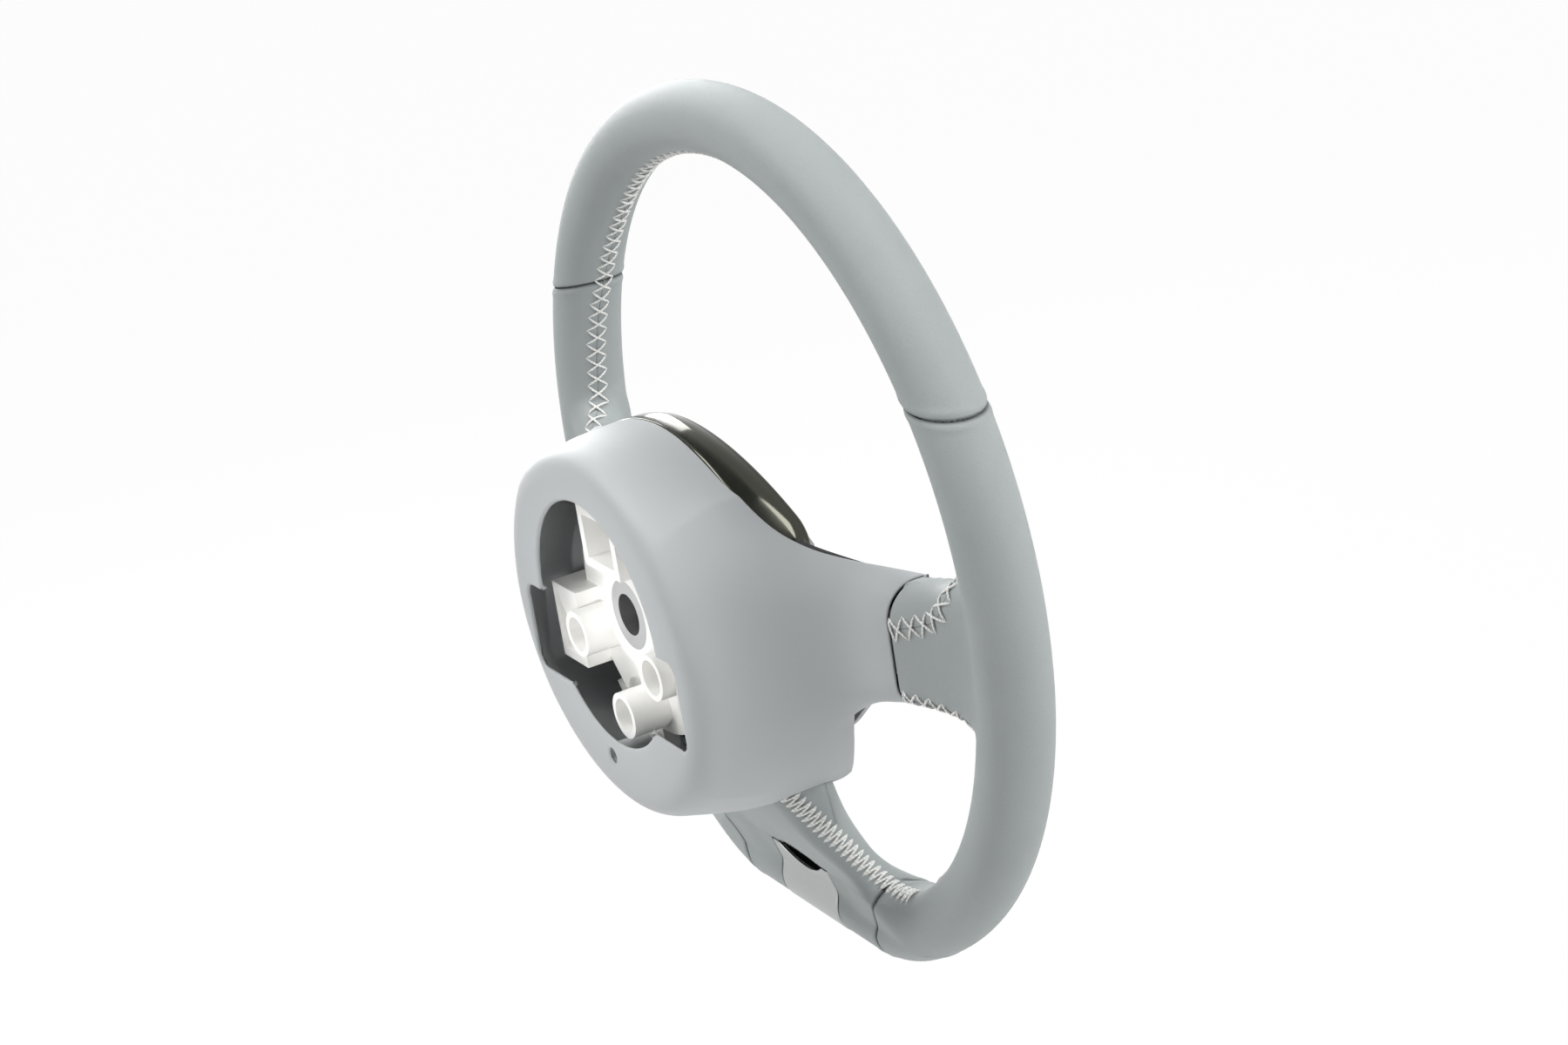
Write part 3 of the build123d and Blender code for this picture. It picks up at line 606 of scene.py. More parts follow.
@dataclass(frozen=True)
class GripField(Settling):
    """Distance field of the padded grip: rim, side stubs and lower spoke, blended into one skin."""

    rim_radius: float = 175.5
    rim_raise: float = 15.0
    rim_y: float = -76.0
    half_width: float = 14.5
    half_depth: float = 15.5
    flat_z: float = -150.0
    corner: float = 60.0
    stub_start: float = 128.6
    stub_end: float = 174.0
    stub_edge: float = 4.0
    stub_blend: float = 17.0
    fillet_fade: tuple = (150.0, 24.0)
    under_fade: tuple = (8.0, 24.0)
    under_less: float = 0.4
    ridge_z: float = -129.5
    ridge_half: float = 26.0
    web_top: float = -62.0
    web_round: float = 0.44
    web_slope: float = 0.9
    web_blend: float = 2.5
    web_fillet: float = 22.0
    web_fade: tuple = (4.0, 16.0)

    def around(self, x: Array, z: Array) -> Array:
        """Offset from the rim's centreline, positive outwards.

        The centreline is a circle cut off by a chord, both shrunk by the corner's radius and grown back.

        Args:
            x: places across the wheel.
            z: places up the wheel.

        Returns:
            Distance to the shrunk circle, chord or chord's end, the nearest one, less the corner's radius.
        """
        core = self.rim_radius - self.corner
        chord = self.flat_z + self.corner
        half = math.sqrt(core**2 - (chord - self.rim_raise) ** 2)
        up = z - self.rim_raise
        reach = np.hypot(x, up)
        on_arc = up * half > -np.abs(x) * abs(chord - self.rim_raise)
        to_chord = chord - z
        to_end = np.hypot(np.abs(x) - half, z - chord)
        return np.where(on_arc, reach - core, np.where(np.abs(x) < half, to_chord, to_end)) - self.corner

    def rim(self, p: Array) -> Array:
        """Distance to the rim by the oval of its section."""
        return oval(self.around(p[:, 0], p[:, 2]), p[:, 1] - self.rim_y, self.half_width, self.half_depth)

    def stub_section(self, x: Array) -> tuple:
        """Front, back, bottom, top, crown and corner radius of a stub at a distance from the middle."""
        stops = [self.stub_start, 147.4, 163.8, 175.5]
        rows = (
            [5.5, -3.6, -9.97, -12.7],
            [25.5, 19.1, 14.62, 12.7],
            [-20.5, -21.2, -24.0, -29.5],
            [29.5, 31.0, 34.8, 41.5],
            [15.5, 11.5, 9.0, 9.0],
            [9.0, 9.0, 9.0, 9.0],
        )
        return tuple(smooth_track(x, stops, row) for row in rows)

    def stubs(self, p: Array) -> Array:
        """Distance to both stubs: their rounded section at each x, ended inside the rim."""
        x = np.abs(p[:, 0])
        front, back, low, top, crown, corner = self.stub_section(x)
        radii = (crown, self.stub_edge, self.stub_edge, corner)
        section = rounded_box(p[:, 1] - self.rim_y, p[:, 2], (front, low), (back, top), radii)
        return np.maximum(section, x - self.stub_end)

    def web_section(self, z: Array) -> tuple:
        """Half width, front, ridged back and smooth back of the lower spoke at a height."""
        stops = [self.flat_z, self.ridge_z, -102.25, -75.0]
        half = smooth_track(z, stops, [92.0, 66.7, 51.5, 46.0])
        front = smooth_track(z, stops, [-11.3, 0.71, 11.63, 16.0])
        upper = smooth_track(z, stops[1:], [18.0, 34.5, 48.0])
        below = np.interp(z, stops[:2], [11.3, 18.0])
        crisp = np.where(z > self.ridge_z, upper, below)
        soft = smooth_track(z, stops, [11.3, 18.0, 34.5, 48.0])
        return half, front, crisp, soft

    def web(self, p: Array) -> Array:
        """Distance to the lower spoke: its rounded section at each height, ridged near the middle."""
        half, front, crisp, soft = self.web_section(p[:, 2])
        back = crisp + (soft - crisp) * self.aside(p)
        radii = (self.web_round * (back - front),) * 4
        section = rounded_box(p[:, 0], p[:, 1] - self.rim_y, (-half, front), (half, back), radii)
        ends = np.maximum(self.flat_z - p[:, 2], p[:, 2] - self.web_top)
        return np.maximum(section * self.web_slope, ends)

    def value(self, p: Array) -> Array:
        """Distance to the blended grip.

        The stubs' fillet fades over the rim's outer half and is less below. The lower spoke's fillet fades
        towards the flat.

        Args:
            p: points.

        Returns:
            Their distances.
        """
        out = ease((np.abs(p[:, 0]) - self.fillet_fade[0]) / self.fillet_fade[1])
        under = np.clip((self.under_fade[0] - p[:, 2]) / self.under_fade[1], 0, 1)
        fillet = self.stub_blend * (1 - out) * (1 - self.under_less * under) + 1.0
        with_stubs = smooth_union(self.rim(p), self.stubs(p), fillet)
        rise = np.clip((p[:, 2] - self.flat_z - self.web_fade[0]) / self.web_fade[1], 0, 1)
        web_fillet = self.web_blend + self.web_fillet * self.aside(p) * rise
        return smooth_union(with_stubs, self.web(p), web_fillet)

    def aside(self, p: Array) -> Array:
        """Nought along the ridged middle of the lower spoke and one at its sides, eased between."""
        return ease((np.abs(p[:, 0]) - self.ridge_half) / self.ridge_half)


@dataclass(frozen=True)
class RimSeam:
    """A seam across the rim at an angle from twelve o'clock, turned towards the level."""

    side: int
    angle: float
    shape: GripField
    tilt: float = 36.0
    reach: float = 30.0

    def distance(self, p: Array) -> Array:
        """Signed distance along the rim, large on the wheel's other side."""
        turn, lean = math.radians(self.angle), math.radians(self.angle + self.tilt)
        s = self.shape
        start = np.array([math.sin(turn) * self.side, 0.0, math.cos(turn)]) * s.rim_radius
        from_start = p - start - [0.0, s.rim_y, s.rim_raise]
        along = from_start @ np.array([math.cos(lean) * self.side, 0.0, -math.sin(lean)])
        near = (p[:, 0] * self.side > 0) & (np.abs(along) < self.reach)
        return np.where(near, along, FAR)


@dataclass(frozen=True)
class SpokeSeam:
    """A seam down one side of the lower spoke and round the flat, given by its x at falling heights."""

    side: int
    heights: tuple = (-75.0, -93.8, -103.1, -112.0, -120.0, -125.5, -129.5, -138.7, -150.0, -180.0)
    places: tuple = (44.0, 48.7, 51.8, 55.4, 61.0, 67.0, 66.6, 60.8, 56.0, 54.0)
    start_z: float = -124.0
    reach: float = 14.0
    slant: float = 0.88

    def line(self, z: Array) -> Array:
        """The seam's distance from the middle at a height."""
        return np.interp(-z, -np.array(self.heights), self.places)

    def distance(self, p: Array) -> Array:
        """Signed distance across the seam, large away from it."""
        off = (p[:, 0] * self.side - self.line(p[:, 2])) * self.slant
        return np.where((p[:, 2] < self.start_z) & (np.abs(off) < self.reach), off, FAR)


class StitchPattern(Enum):
    """How a row of stitches crosses its seam."""

    LATTICE = "lattice"
    ZIGZAG = "zigzag"


@dataclass(frozen=True)
class Sewing:
    """A way to sew: half the row's width, the crossing, the holes' pitch and the thread's radius."""

    half: float
    pattern: StitchPattern
    pitch: float
    thread: float


@dataclass
class StitchRow:
    """A row of thread over a butt seam, along two lines of holes on the skin."""

    middle: Array
    left: Array
    right: Array
    sewing: Sewing

    def holes(self) -> tuple:
        """Evenly spaced holes: those of the left line and those of the right line."""
        run = run_along(self.middle)
        places = np.linspace(0, run[-1], max(2, int(round(run[-1] / self.sewing.pitch)) + 1))
        return walk(self.left, run, places), walk(self.right, run, places)

    def strands(self) -> Array:
        """Start and end of each visible strand, with a straight bar at both ends.

        Returns:
            An array of strands by two points.
        """
        left, right = self.holes()
        lattice = self.sewing.pattern is StitchPattern.LATTICE
        runs = [(left[:-1], right[1:] if lattice else right[:-1]), (right[:-1], left[1:])]
        runs.append((left[[0, -1]], right[[0, -1]]))
        return np.concatenate([np.stack(pair, 1) for pair in runs])


def tube_mesh(paths: Array, normals: Array, radius: float, sides: int = 6) -> tuple:
    """Round tubes along many paths of equal length, drawn in and closed at both ends.

    Args:
        paths: points, as paths by points by 3.
        normals: a direction across each path at each point.
        radius: radius in the middle of each path.
        sides: corners of the tube's section.

    Returns:
        Vertices, faces as lists, and how far along its path each vertex lies.
    """
    count, steps = paths.shape[:2]
    along = unit(np.gradient(paths, axis=1))
    aside = unit(np.cross(along, normals))
    up = np.cross(aside, along)
    turn = np.arange(sides) * FULL_TURN / sides
    taper = np.ones(steps)
    taper[[0, -1]] = 0.45
    ring = np.cos(turn)[:, None] * aside[:, :, None] + np.sin(turn)[:, None] * up[:, :, None]
    points = paths[:, :, None] + ring * (radius * taper)[:, None, None]
    quads = grid_faces(steps, sides, wrap_columns=True)
    shift = (np.arange(count) * steps * sides)[:, None, None]
    faces = (quads[None] + shift).reshape(-1, 4).tolist()
    caps = np.stack([np.arange(sides)[::-1], (steps - 1) * sides + np.arange(sides)])
    faces += (caps[None] + shift).reshape(-1, sides).tolist()
    length = np.cumsum(np.linalg.norm(np.diff(paths, axis=1, prepend=paths[:, :1]), axis=-1), axis=1)
    twist = length[:, :, None] / (radius * 3.0) + turn / FULL_TURN
    return points.reshape(-1, 3), faces, np.broadcast_to(twist, (count, steps, sides)).ravel()


@dataclass
class Grip:
    """The sewn leather grip with its seams, its clasp and its stitching."""

    shape: GripField = field(default_factory=GripField)
    voxel: float = 2.0
    hide: float = 1.1
    seam_angles: tuple = (60.0, 63.2)
    seam_roll: float = 1.3
    end_roll: float = 1.6
    clasp_roll: float = 1.0
    seam_levels: tuple = (-3.2, -2.0, -1.2, -0.55, 0.0, 0.55, 1.2, 2.0, 3.2)
    edge_levels: tuple = (0.0, 0.5, 1.2, 2.2)
    puff: tuple = (0.35, 2.6, 1.1)
    # Width of the painted shade that darkens the seams, the stubs' ends and the clasp's edge.
    crease: float = 0.7
    hub_half: float = 100.0
    stub_tall: float = 80.0
    stub_reach: float = 12.0
    spoke_top: float = -74.5
    ridge_rear: float = 4.0
    ridge_reach: float = 72.0
    joint: float = 0.32
    joint_sunk: float = 0.2
    clasp_wall: float = 2.0
    clasp_inset: float = 0.3
    clasp_lift: float = 0.25
    clasp_edge: float = 0.9
    clasp_half: float = 24.0
    clasp_top: float = -130.5
    clasp_gap: float = 0.35
    slot_half: float = 18.0
    slot_rise: float = 4.2
    slot_fall: float = 6.0

    def seams(self) -> list:
        """The open seams: one across each side of the rim, and one on each side of the flat."""
        across = [RimSeam(side, angle, self.shape) for side, angle in zip((-1, 1), self.seam_angles)]
        return across + [SpokeSeam(side) for side in (-1, 1)]

    def blank(self) -> tuple:
        """Rim, stubs and lower spoke as closed grids that overlap.

        The rim is its oval carried round the centreline. Stubs and spoke are boxes inside their final shape.

        Returns:
            Points and faces.
        """
        s, steps, sides, stub_share, web_share = self.shape, 400, 28, 0.9, 0.95
        middle = np.array([0, s.rim_y, s.rim_raise])
        turn = np.linspace(0, FULL_TURN, steps, endpoint=False)
        line = middle + np.stack([np.sin(turn), np.zeros(steps), np.cos(turn)], -1) * s.rim_radius
        for _ in range(8):
            line -= unit(line - middle) * s.around(line[:, 0], line[:, 2])[:, None]
        around = np.linspace(0, FULL_TURN, sides, endpoint=False)[:, None]
        ring = line[:, None] + np.cos(around) * unit(line - middle)[:, None] * s.half_width
        ring = ring + np.sin(around) * np.array([0, s.half_depth, 0])
        corner = np.array([(-1, -1), (1, -1), (1, 1), (-1, 1)], float)
        runs = []
        x = np.linspace(120, 172, 14)[:, None]
        front, back, low, top, _, _ = s.stub_section(x)
        y = (front + back) / 2 + corner[:, 0] * (back - front) / 2 * stub_share + s.rim_y
        z = (low + top) / 2 + corner[:, 1] * (top - low) / 2 * stub_share
        runs += [np.stack([np.broadcast_to(x * side, y.shape), y, z], -1) for side in (-1, 1)]
        z = np.linspace(-149.5, -66, 30)[:, None]
        half, front, back, _ = s.web_section(z)
        x = corner[:, 0] * half * web_share
        y = (front + back) / 2 + corner[:, 1] * (back - front) / 2 * web_share + s.rim_y
        runs.append(np.stack([x, y, np.broadcast_to(z, x.shape)], -1))
        rim = (ring.reshape(-1, 3), grid_faces(steps, sides, True, True).tolist())
        return join_meshes([rim] + [closed_tube(run) for run in runs])

    def end_distance(self, p: Array) -> Array:
        """Distance outwards from the ends of the stubs at the cover's wings."""
        out = np.abs(p[:, 0]) - self.shape.stub_start
        return np.where((np.abs(p[:, 2]) < self.stub_tall) & (np.abs(out) < self.stub_reach), out, FAR)

    def clasp_distance(self, p: Array) -> Array:
        """Distance outwards from the clasp's room, the greater of those over its bowed top and its sides."""
        bow = np.clip(1 - (p[:, 0] / self.slot_half) ** 2, 0, 1)
        above = p[:, 2] - self.clasp_top - self.clasp_gap - self.slot_rise * bow
        return np.maximum(above, np.abs(p[:, 0]) - self.clasp_half - self.clasp_gap)

    def ridge_distance(self, p: Array) -> Array:
        """Height over the lower spoke's ridge, on its rear face."""
        behind = p[:, 1] > self.shape.rim_y + self.ridge_rear
        rear = behind & (np.abs(p[:, 0]) < self.ridge_reach)
        return np.where(rear, p[:, 2] - self.shape.ridge_z, FAR)

    def skin(self) -> tuple:
        """The grip's whole skin on its field, with rolled seams and open ends.

        Returns:
            The skin and the painted shade of each point, darkest at the seams and the open edges.
        """
        skin = Skin.remeshed(*self.blank(), self.voxel)
        skin.settle(self.shape)
        for seam in self.seams():
            for level in self.seam_levels:
                skin.split(seam.distance, level)
        for level in self.edge_levels:
            skin.split(self.end_distance, level)
            skin.split(self.clasp_distance, level)
        skin.split(self.ridge_distance)
        skin.settle(self.shape, 3)
        p = skin.points
        seam = np.min([np.abs(s.distance(p)) for s in self.seams()], axis=0)
        end, clasp = np.abs(self.end_distance(p)), np.abs(self.clasp_distance(p))
        rolls = (roll(seam, self.seam_roll), roll(end, self.end_roll), roll(clasp, self.clasp_roll))
        height, beside, width = self.puff
        puff = height * np.exp(-(((seam - beside) / width) ** 2))
        skin.points = p + self.shape.normal(p) * (puff - np.maximum.reduce(rolls))[:, None]
        # Painted shade: a darkening that falls off from the seams, the stubs' ends and the clasp's edge.
        edges = ((seam, 1.0), (end, 0.8), (clasp, 0.5))
        crease = sum(share * np.exp(-((off / self.crease) ** 2)) for off, share in edges)
        return skin, np.clip(crease, 0, 1)

    def build_leather(self, dress: bpy.types.Material) -> list:
        """Parts the skin at its seams into the four leather pieces.

        Args:
            dress: the leather's material.

        Returns:
            The pieces.
        """
        skin, crease = self.skin()
        centre = skin.centres()
        x, z = np.abs(centre[:, 0]), centre[:, 2]
        stub_low, clasp_reach, seam_low, crest_low, spoke_high = -60.0, 60.0, 60.0, 120.0, -70.0
        under_wing = (x < self.shape.stub_start) & (x > self.hub_half) & (z > stub_low) & (z < self.stub_tall)
        under_hub = (x < self.hub_half) & (z > self.spoke_top) & (z < self.stub_tall)
        gone = under_wing | under_hub | ((self.clasp_distance(centre) < 0) & (x < clasp_reach))
        above = np.min([seam.distance(centre) for seam in self.seams()[:2]], axis=0)
        upper = (z > seam_low) & ((above < 0) | ((above == FAR) & (z > crest_low))) & ~gone
        lower = (z < spoke_high) & (x < SpokeSeam(1).line(z)) & ~gone
        rest = ~(upper | lower | gone)
        made = []
        for name, chosen in (
            ("upper_grip_leather", upper),
            ("lower_grip_leather", lower),
            ("left_grip_leather", rest & (centre[:, 0] < 0)),
            ("right_grip_leather", rest & (centre[:, 0] > 0)),
        ):
            # Each piece carries the painted shade of its points as a vertex value.
            piece = skin.piece(name, chosen, dress, crease=crease)
            thicken(piece, self.hide)
            made.append(piece)
        return made

    def clasp_outline(self, count: int) -> Array:
        """The grip's section in the middle of the flat, from the clasp's rear top round to its front top.

        Rays from the centre of the flat's section meet the skin where the field is nought, found by halving.

        Args:
            count: number of points.

        Returns:
            y and z of each point.
        """
        s, rays = self.shape, 1400
        turn = np.radians(np.linspace(60.0, -285.0, rays))
        way = np.stack([np.zeros(rays), np.cos(turn), np.sin(turn)], -1)
        origin = np.array([0, s.rim_y, s.flat_z])
        low, high = np.full(rays, 4.0), np.full(rays, 70.0)
        for _ in range(40):
            mid = (low + high) / 2
            inside = s.value(origin + way * mid[:, None]) < 0
            low, high = np.where(inside, mid, low), np.where(inside, high, mid)
        p = origin + way * low[:, None]
        line = p[p[:, 2] < self.clasp_top][:, 1:]
        run = run_along(line)
        return walk(line, run, np.linspace(0, run[-1], count))

    def build_clasp(self, dress: bpy.types.Material) -> bpy.types.Object:
        """The satin clasp: the flat's section carried across, its rear edge bowed down under the slot.

        Args:
            dress: the clasp's material.

        Returns:
            The clasp.
        """
        line = self.clasp_outline(900)
        run = run_along(line)
        across = np.concatenate([[-1, -0.985, -0.96], np.linspace(-0.9, 0.9, 61), [0.96, 0.985, 1]])
        x = across * self.clasp_half
        begin = self.clasp_inset + 1.1 * self.slot_fall * np.clip(1 - (x / self.slot_half) ** 2, 0, 1)
        share = np.concatenate([[0.0, 0.004, 0.01], np.linspace(0.018, 1, 120)])[:, None]
        along = begin * (1 - share) + run[-1] * share
        y, z = np.interp(along, run, line[:, 0]), np.interp(along, run, line[:, 1])
        p = np.stack([np.broadcast_to(x, y.shape), y, z], -1).reshape(-1, 3)
        edge = np.minimum(self.clasp_half - np.abs(p[:, 0]), (along - begin).ravel())
        lift = self.clasp_lift - roll(np.maximum(edge, 0), self.clasp_edge)
        p = p + self.shape.normal(p) * lift[:, None]
        piece = new_piece("satin_clasp", p, grid_faces(len(share), len(x)).tolist(), dress, outward=False)
        away = self.shape.normal(p[:1])[0]
        if np.dot(np.array(piece.data.polygons[0].normal), away) < 0:
            piece.data.flip_normals()
        thicken(piece, self.clasp_wall)
        return piece

    def rim_point(self, angle: float, lean: float) -> tuple:
        """A point of the rim's inner side at an angle from twelve o'clock, leaning a little to the back."""
        s, turn, tilt = self.shape, math.radians(angle), math.radians(lean)
        reach = s.rim_radius - s.half_width * math.cos(tilt)
        height = s.rim_raise + reach * math.cos(turn)
        return reach * math.sin(turn), s.rim_y + s.half_depth * math.sin(tilt), height

    def row(self, knots: Array, sewing: Sewing) -> StitchRow:
        """A stitch row along a smooth line over the skin.

        Args:
            knots: points that the line runs through.
            sewing: how it is sewn.

        Returns:
            The row, with its holes half a width to each side on the skin.
        """
        s, run = self.shape, run_along(knots)
        at = np.linspace(0, run[-1], 500)
        centre = s.settle(np.stack([smooth_track(at, run, knots[:, k]) for k in range(3)], -1), rounds=10)
        aside = unit(np.cross(s.normal(centre), unit(np.gradient(centre, axis=0)))) * sewing.half
        return StitchRow(centre, *(s.settle(centre + off, rounds=5) for off in (aside, -aside)), sewing)

    def rows(self) -> list:
        """All stitch rows: over the rim onto both stubs, under each stub, and down the lower spoke."""
        over_rim = Sewing(4.9, StitchPattern.LATTICE, 7.2, 0.5)
        under_stub = Sewing(4.5, StitchPattern.LATTICE, 6.4, 0.5)
        down_spoke = Sewing(4.9, StitchPattern.ZIGZAG, 3.1, 0.55)
        leans = ((4, 8), (22, 5), (38, -5), (50, -4), (61, 2.5), (68, 8), (74, 11), (80, 12.7))
        right_end = ((157.2, -71.0, 37.0), (152.5, -66.5, 30.8), (146.0, -61.0, 24.5), (138.0, -56.0, 18.5),
                     (130.2, -50.8, 12.8))
        left_end = ((-158.2, -69.0, 35.5), (-156.8, -63.5, 27.5), (-150.5, -58.0, 19.4), (-142.5, -55.3, 16.2),
                    (-134.9, -52.7, 14.1), (-130.2, -50.8, 12.8))
        rim = np.array([self.rim_point(*pair) for pair in leans])
        upper = np.concatenate([left_end[::-1], (rim * [-1.0, 1.0, 1.0])[::-1], rim, right_end])
        under = [(130.2, -52.0, -16.8), (137.0, -54.5, -17.6), (146.0, -57.5, -19.0), (155.0, -61.0, -22.5)]
        under += [self.rim_point(*pair) for pair in ((105, 20), (112, 10), (120, 4), (132, 2), (143, 2))]
        spoke = [(44.5, -34.0, -78.0), (45.9, -38.9, -83.9), (48.7, -45.3, -93.8), (51.8, -51.7, -103.1),
                 (55.4, -57.9, -112.1), (61.0, -63.1, -120.1), (68.7, -66.3, -124.6), (79.6, -68.0, -125.3)]
        made = [self.row(upper, over_rim)]
        for side in (1.0, -1.0):
            flip = np.array([side, 1.0, 1.0])
            made.append(self.row(np.array(under) * flip, under_stub))
            made.append(self.row(np.array(spoke) * flip, down_spoke))
        return made

    def build_stitches(self, dress: bpy.types.Material) -> bpy.types.Object:
        """All stitches as short bent tubes that dip into the skin at both ends.

        Args:
            dress: the thread's material.

        Returns:
            The stitching.
        """
        share = np.linspace(0, 1, 6)[:, None]
        rise, sunk = 2.1, 0.9
        arch = rise * np.sqrt(np.sin(math.pi * np.clip(share[:, 0], 0.02, 0.98))) - sunk
        tubes = []
        for row in self.rows():
            strands, thread = row.strands(), row.sewing.thread
            path = strands[:, None, 0] * (1 - share) + strands[:, None, 1] * share
            flat = self.shape.settle(path.reshape(-1, 3), np.tile(thread * arch, len(strands)), rounds=8)
            across = self.shape.normal(flat).reshape(path.shape)
            tubes.append(tube_mesh(flat.reshape(path.shape), across, thread))
        piece = new_piece("grip_stitching", *join_meshes([tube[:2] for tube in tubes]), dress, outward=False)
        set_attribute(piece, "twist", np.concatenate([twist for _, _, twist in tubes]))
        return piece

    def build_butt_seams(self, dress: bpy.types.Material) -> bpy.types.Object:
        """The joint of the leather's edges under each stitch row: a thin tube let into the skin, dark with
        painted shade of the groove between the edges.

        Args:
            dress: the joint's material, whose dark colour is painted shade.

        Returns:
            The joints.
        """
        paths = [self.shape.settle(row.middle, -self.joint_sunk, rounds=4) for row in self.rows()]
        tubes = [tube_mesh(path[None], self.shape.normal(path)[None], self.joint)[:2] for path in paths]
        return new_piece("butt_seam_shade", *join_meshes(tubes), dress, outward=False)


@dataclass
class RearCover(Settling):
    """The moulded back cover: an oval drum with two trumpet-shaped wings, open in the middle of its back."""

    rim_y: float = -76.0
    back: float = 91.0
    edge: float = 11.0
    voxel: float = 2.0
    thickness: float = 2.2
    blend: float = 20.0
    edge_roll: float = 0.7
    mouth_roll: float = 1.4
    edge_levels: tuple = (0.0, 0.25, 0.7, 1.4)
    spoke_gap: float = 0.6
    wing_end: float = 128.0
    wing_front: float = -40.0
    wing_edge: float = 4.0
    wing_slope: float = 0.8
    shoulder: float = 88.0
    shoulder_front: float = 35.0
    tip_front: float = 5.5
    brow: float = 50.0
    top_front: float = 49.0
    lower_front: float = 11.0
    lobe_front: float = 15.0
    lobe_start: float = 60.0
    lobe_slope: float = 0.385
    split_z: float = 4.5
    opening: float = 53.0
    ear_half: float = 68.0
    ear_low: float = -37.0
    ear_top: float = 1.0
    ear_corner: float = 6.0
    screw: tuple = (8.0, -61.0)
    screw_bore: float = 3.3
    screw_depth: float = 15.0
    screw_shank: float = 2.1
    tower_wall: float = 1.8
    tower_floor: float = 2.5
    tower_sunk: float = 1.5
    grip: GripField = field(default_factory=GripField)

    def drum_section(self, y: Array) -> tuple:
        """Half width, top and bottom of the drum at a distance behind the rim."""
        rows = ([84.0, 86.5, 84.0], [75.0, 75.0, 72.5], [-94.0, -92.5, -82.0])
        return tuple(smooth_track(y, [15.0, 49.0, 91.0], row) for row in rows)

    def drum(self, x: Array, y: Array, z: Array) -> Array:
        """Distance to the drum by its oval at each y."""
        half, top, bottom = self.drum_section(y)
        return oval(x, z - (top + bottom) / 2, half, (top - bottom) / 2)

    def wing_section(self, x: Array) -> tuple:
        """Back, bottom, top, crown and corner radius of a wing at a distance from the middle."""
        stops = [62.5, 76.25, 89.35, 104.4, 128.0]
        rows = (
            [83.5, 71.5, 52.5, 37.0, 25.5],
            [-54.5, -46.5, -35.5, -26.0, -20.5],
            [54.5, 45.0, 39.5, 35.0, 29.5],
            [30.5, 26.5, 22.0, 18.0, 15.5],
            [27.0, 23.0, 17.0, 12.0, 9.0],
        )
        return tuple(smooth_track(x, stops, row) for row in rows)

    def wing(self, x: Array, y: Array, z: Array) -> Array:
        """Distance to the wings: their rounded section at each x, open to the front."""
        back, low, top, crown, corner = self.wing_section(np.abs(x))
        radii = (crown, self.wing_edge, self.wing_edge, corner)
        front = np.full_like(back, self.wing_front)
        return rounded_box(y, z, (front, low), (back, top), radii) * self.wing_slope

    def value(self, p: Array) -> Array:
        """Distance to drum and wings, blended and ended at the flat back with a rounded edge."""
        x, y, z = p[:, 0], p[:, 1] - self.rim_y, p[:, 2]
        body = smooth_union(self.drum(x, y, z), self.wing(x, y, z), self.blend)
        return -smooth_union(-body, self.back - y, self.edge)

    def front_lines(self, x: Array) -> tuple:
        """The y of the cover's front edge: above the spokes, eased, and below them, with a corner."""
        at = np.abs(x)
        slope = (self.shoulder_front - self.tip_front) / (self.wing_end - self.shoulder)
        straight = self.shoulder_front - slope * (at - self.shoulder)
        span = self.shoulder - self.brow
        t = np.clip((self.shoulder - at) / span, 0, 1)
        start = self.shoulder_front * (1 + 2 * t) * (1 - t) ** 2 + slope * span * t * (1 - t) ** 2
        eased = start + self.top_front * ease(t)
        lobe = self.lobe_front + self.lobe_slope * (at - self.lobe_start)
        below = np.maximum(self.lower_front, lobe)
        return np.where(at > self.shoulder, straight, eased), np.minimum(straight, below)

    def inside_edge(self, p: Array) -> Array:
        """Distance from the cover's free edges in front, at the wings' ends and round the lower spoke."""
        y = p[:, 1] - self.rim_y
        above, below = self.front_lines(p[:, 0])
        front = np.minimum(y - below, np.maximum(y - above, self.split_z - p[:, 2]))
        return np.minimum.reduce([front, self.wing_end - np.abs(p[:, 0]), self.grip.web(p) - self.spoke_gap])

    def outside_mouth(self, p: Array) -> Array:
        """Distance from the opening and the screw's hole in the flat back."""
        x, z = p[:, 0], p[:, 2]
        ears = (-self.ear_half, self.ear_low), (self.ear_half, self.ear_top)
        wide = rounded_box(x, z, *ears, (self.ear_corner,) * 4)
        hole = np.hypot(x - self.screw[0], z - self.screw[1]) - self.screw_bore
        near = np.minimum.reduce([np.hypot(x, z) - self.opening, wide, hole])
        return np.where(p[:, 1] > self.rim_y + self.back - self.edge / 2, near, FAR)

    def blank(self) -> tuple:
        """Drum and wings as closed grids that overlap.

        Returns:
            Points and faces.
        """
        y = np.linspace(-2.0, self.back, 40)
        half, top, bottom = self.drum_section(y)
        turn = np.linspace(0, FULL_TURN, 160, endpoint=False)
        x = half[:, None] * np.cos(turn)
        z = (top + bottom)[:, None] / 2 + (top - bottom)[:, None] / 2 * np.sin(turn)
        runs = [np.stack([x, np.broadcast_to(y[:, None] + self.rim_y, x.shape), z], -1)]
        corner = np.array([(0, 0), (1, 0), (1, 1), (0, 1)], float)
        x = np.linspace(60.0, self.wing_end + 4, 24)
        back, low, top, _, _ = self.wing_section(x)
        front = -6.0
        y = front + corner[:, 0] * (back[:, None] - front) + self.rim_y
        z = low[:, None] + corner[:, 1] * (top - low)[:, None]
        runs += [np.stack([np.broadcast_to(x[:, None] * side, y.shape), y, z], -1) for side in (-1, 1)]
        return join_meshes([closed_tube(run) for run in runs])

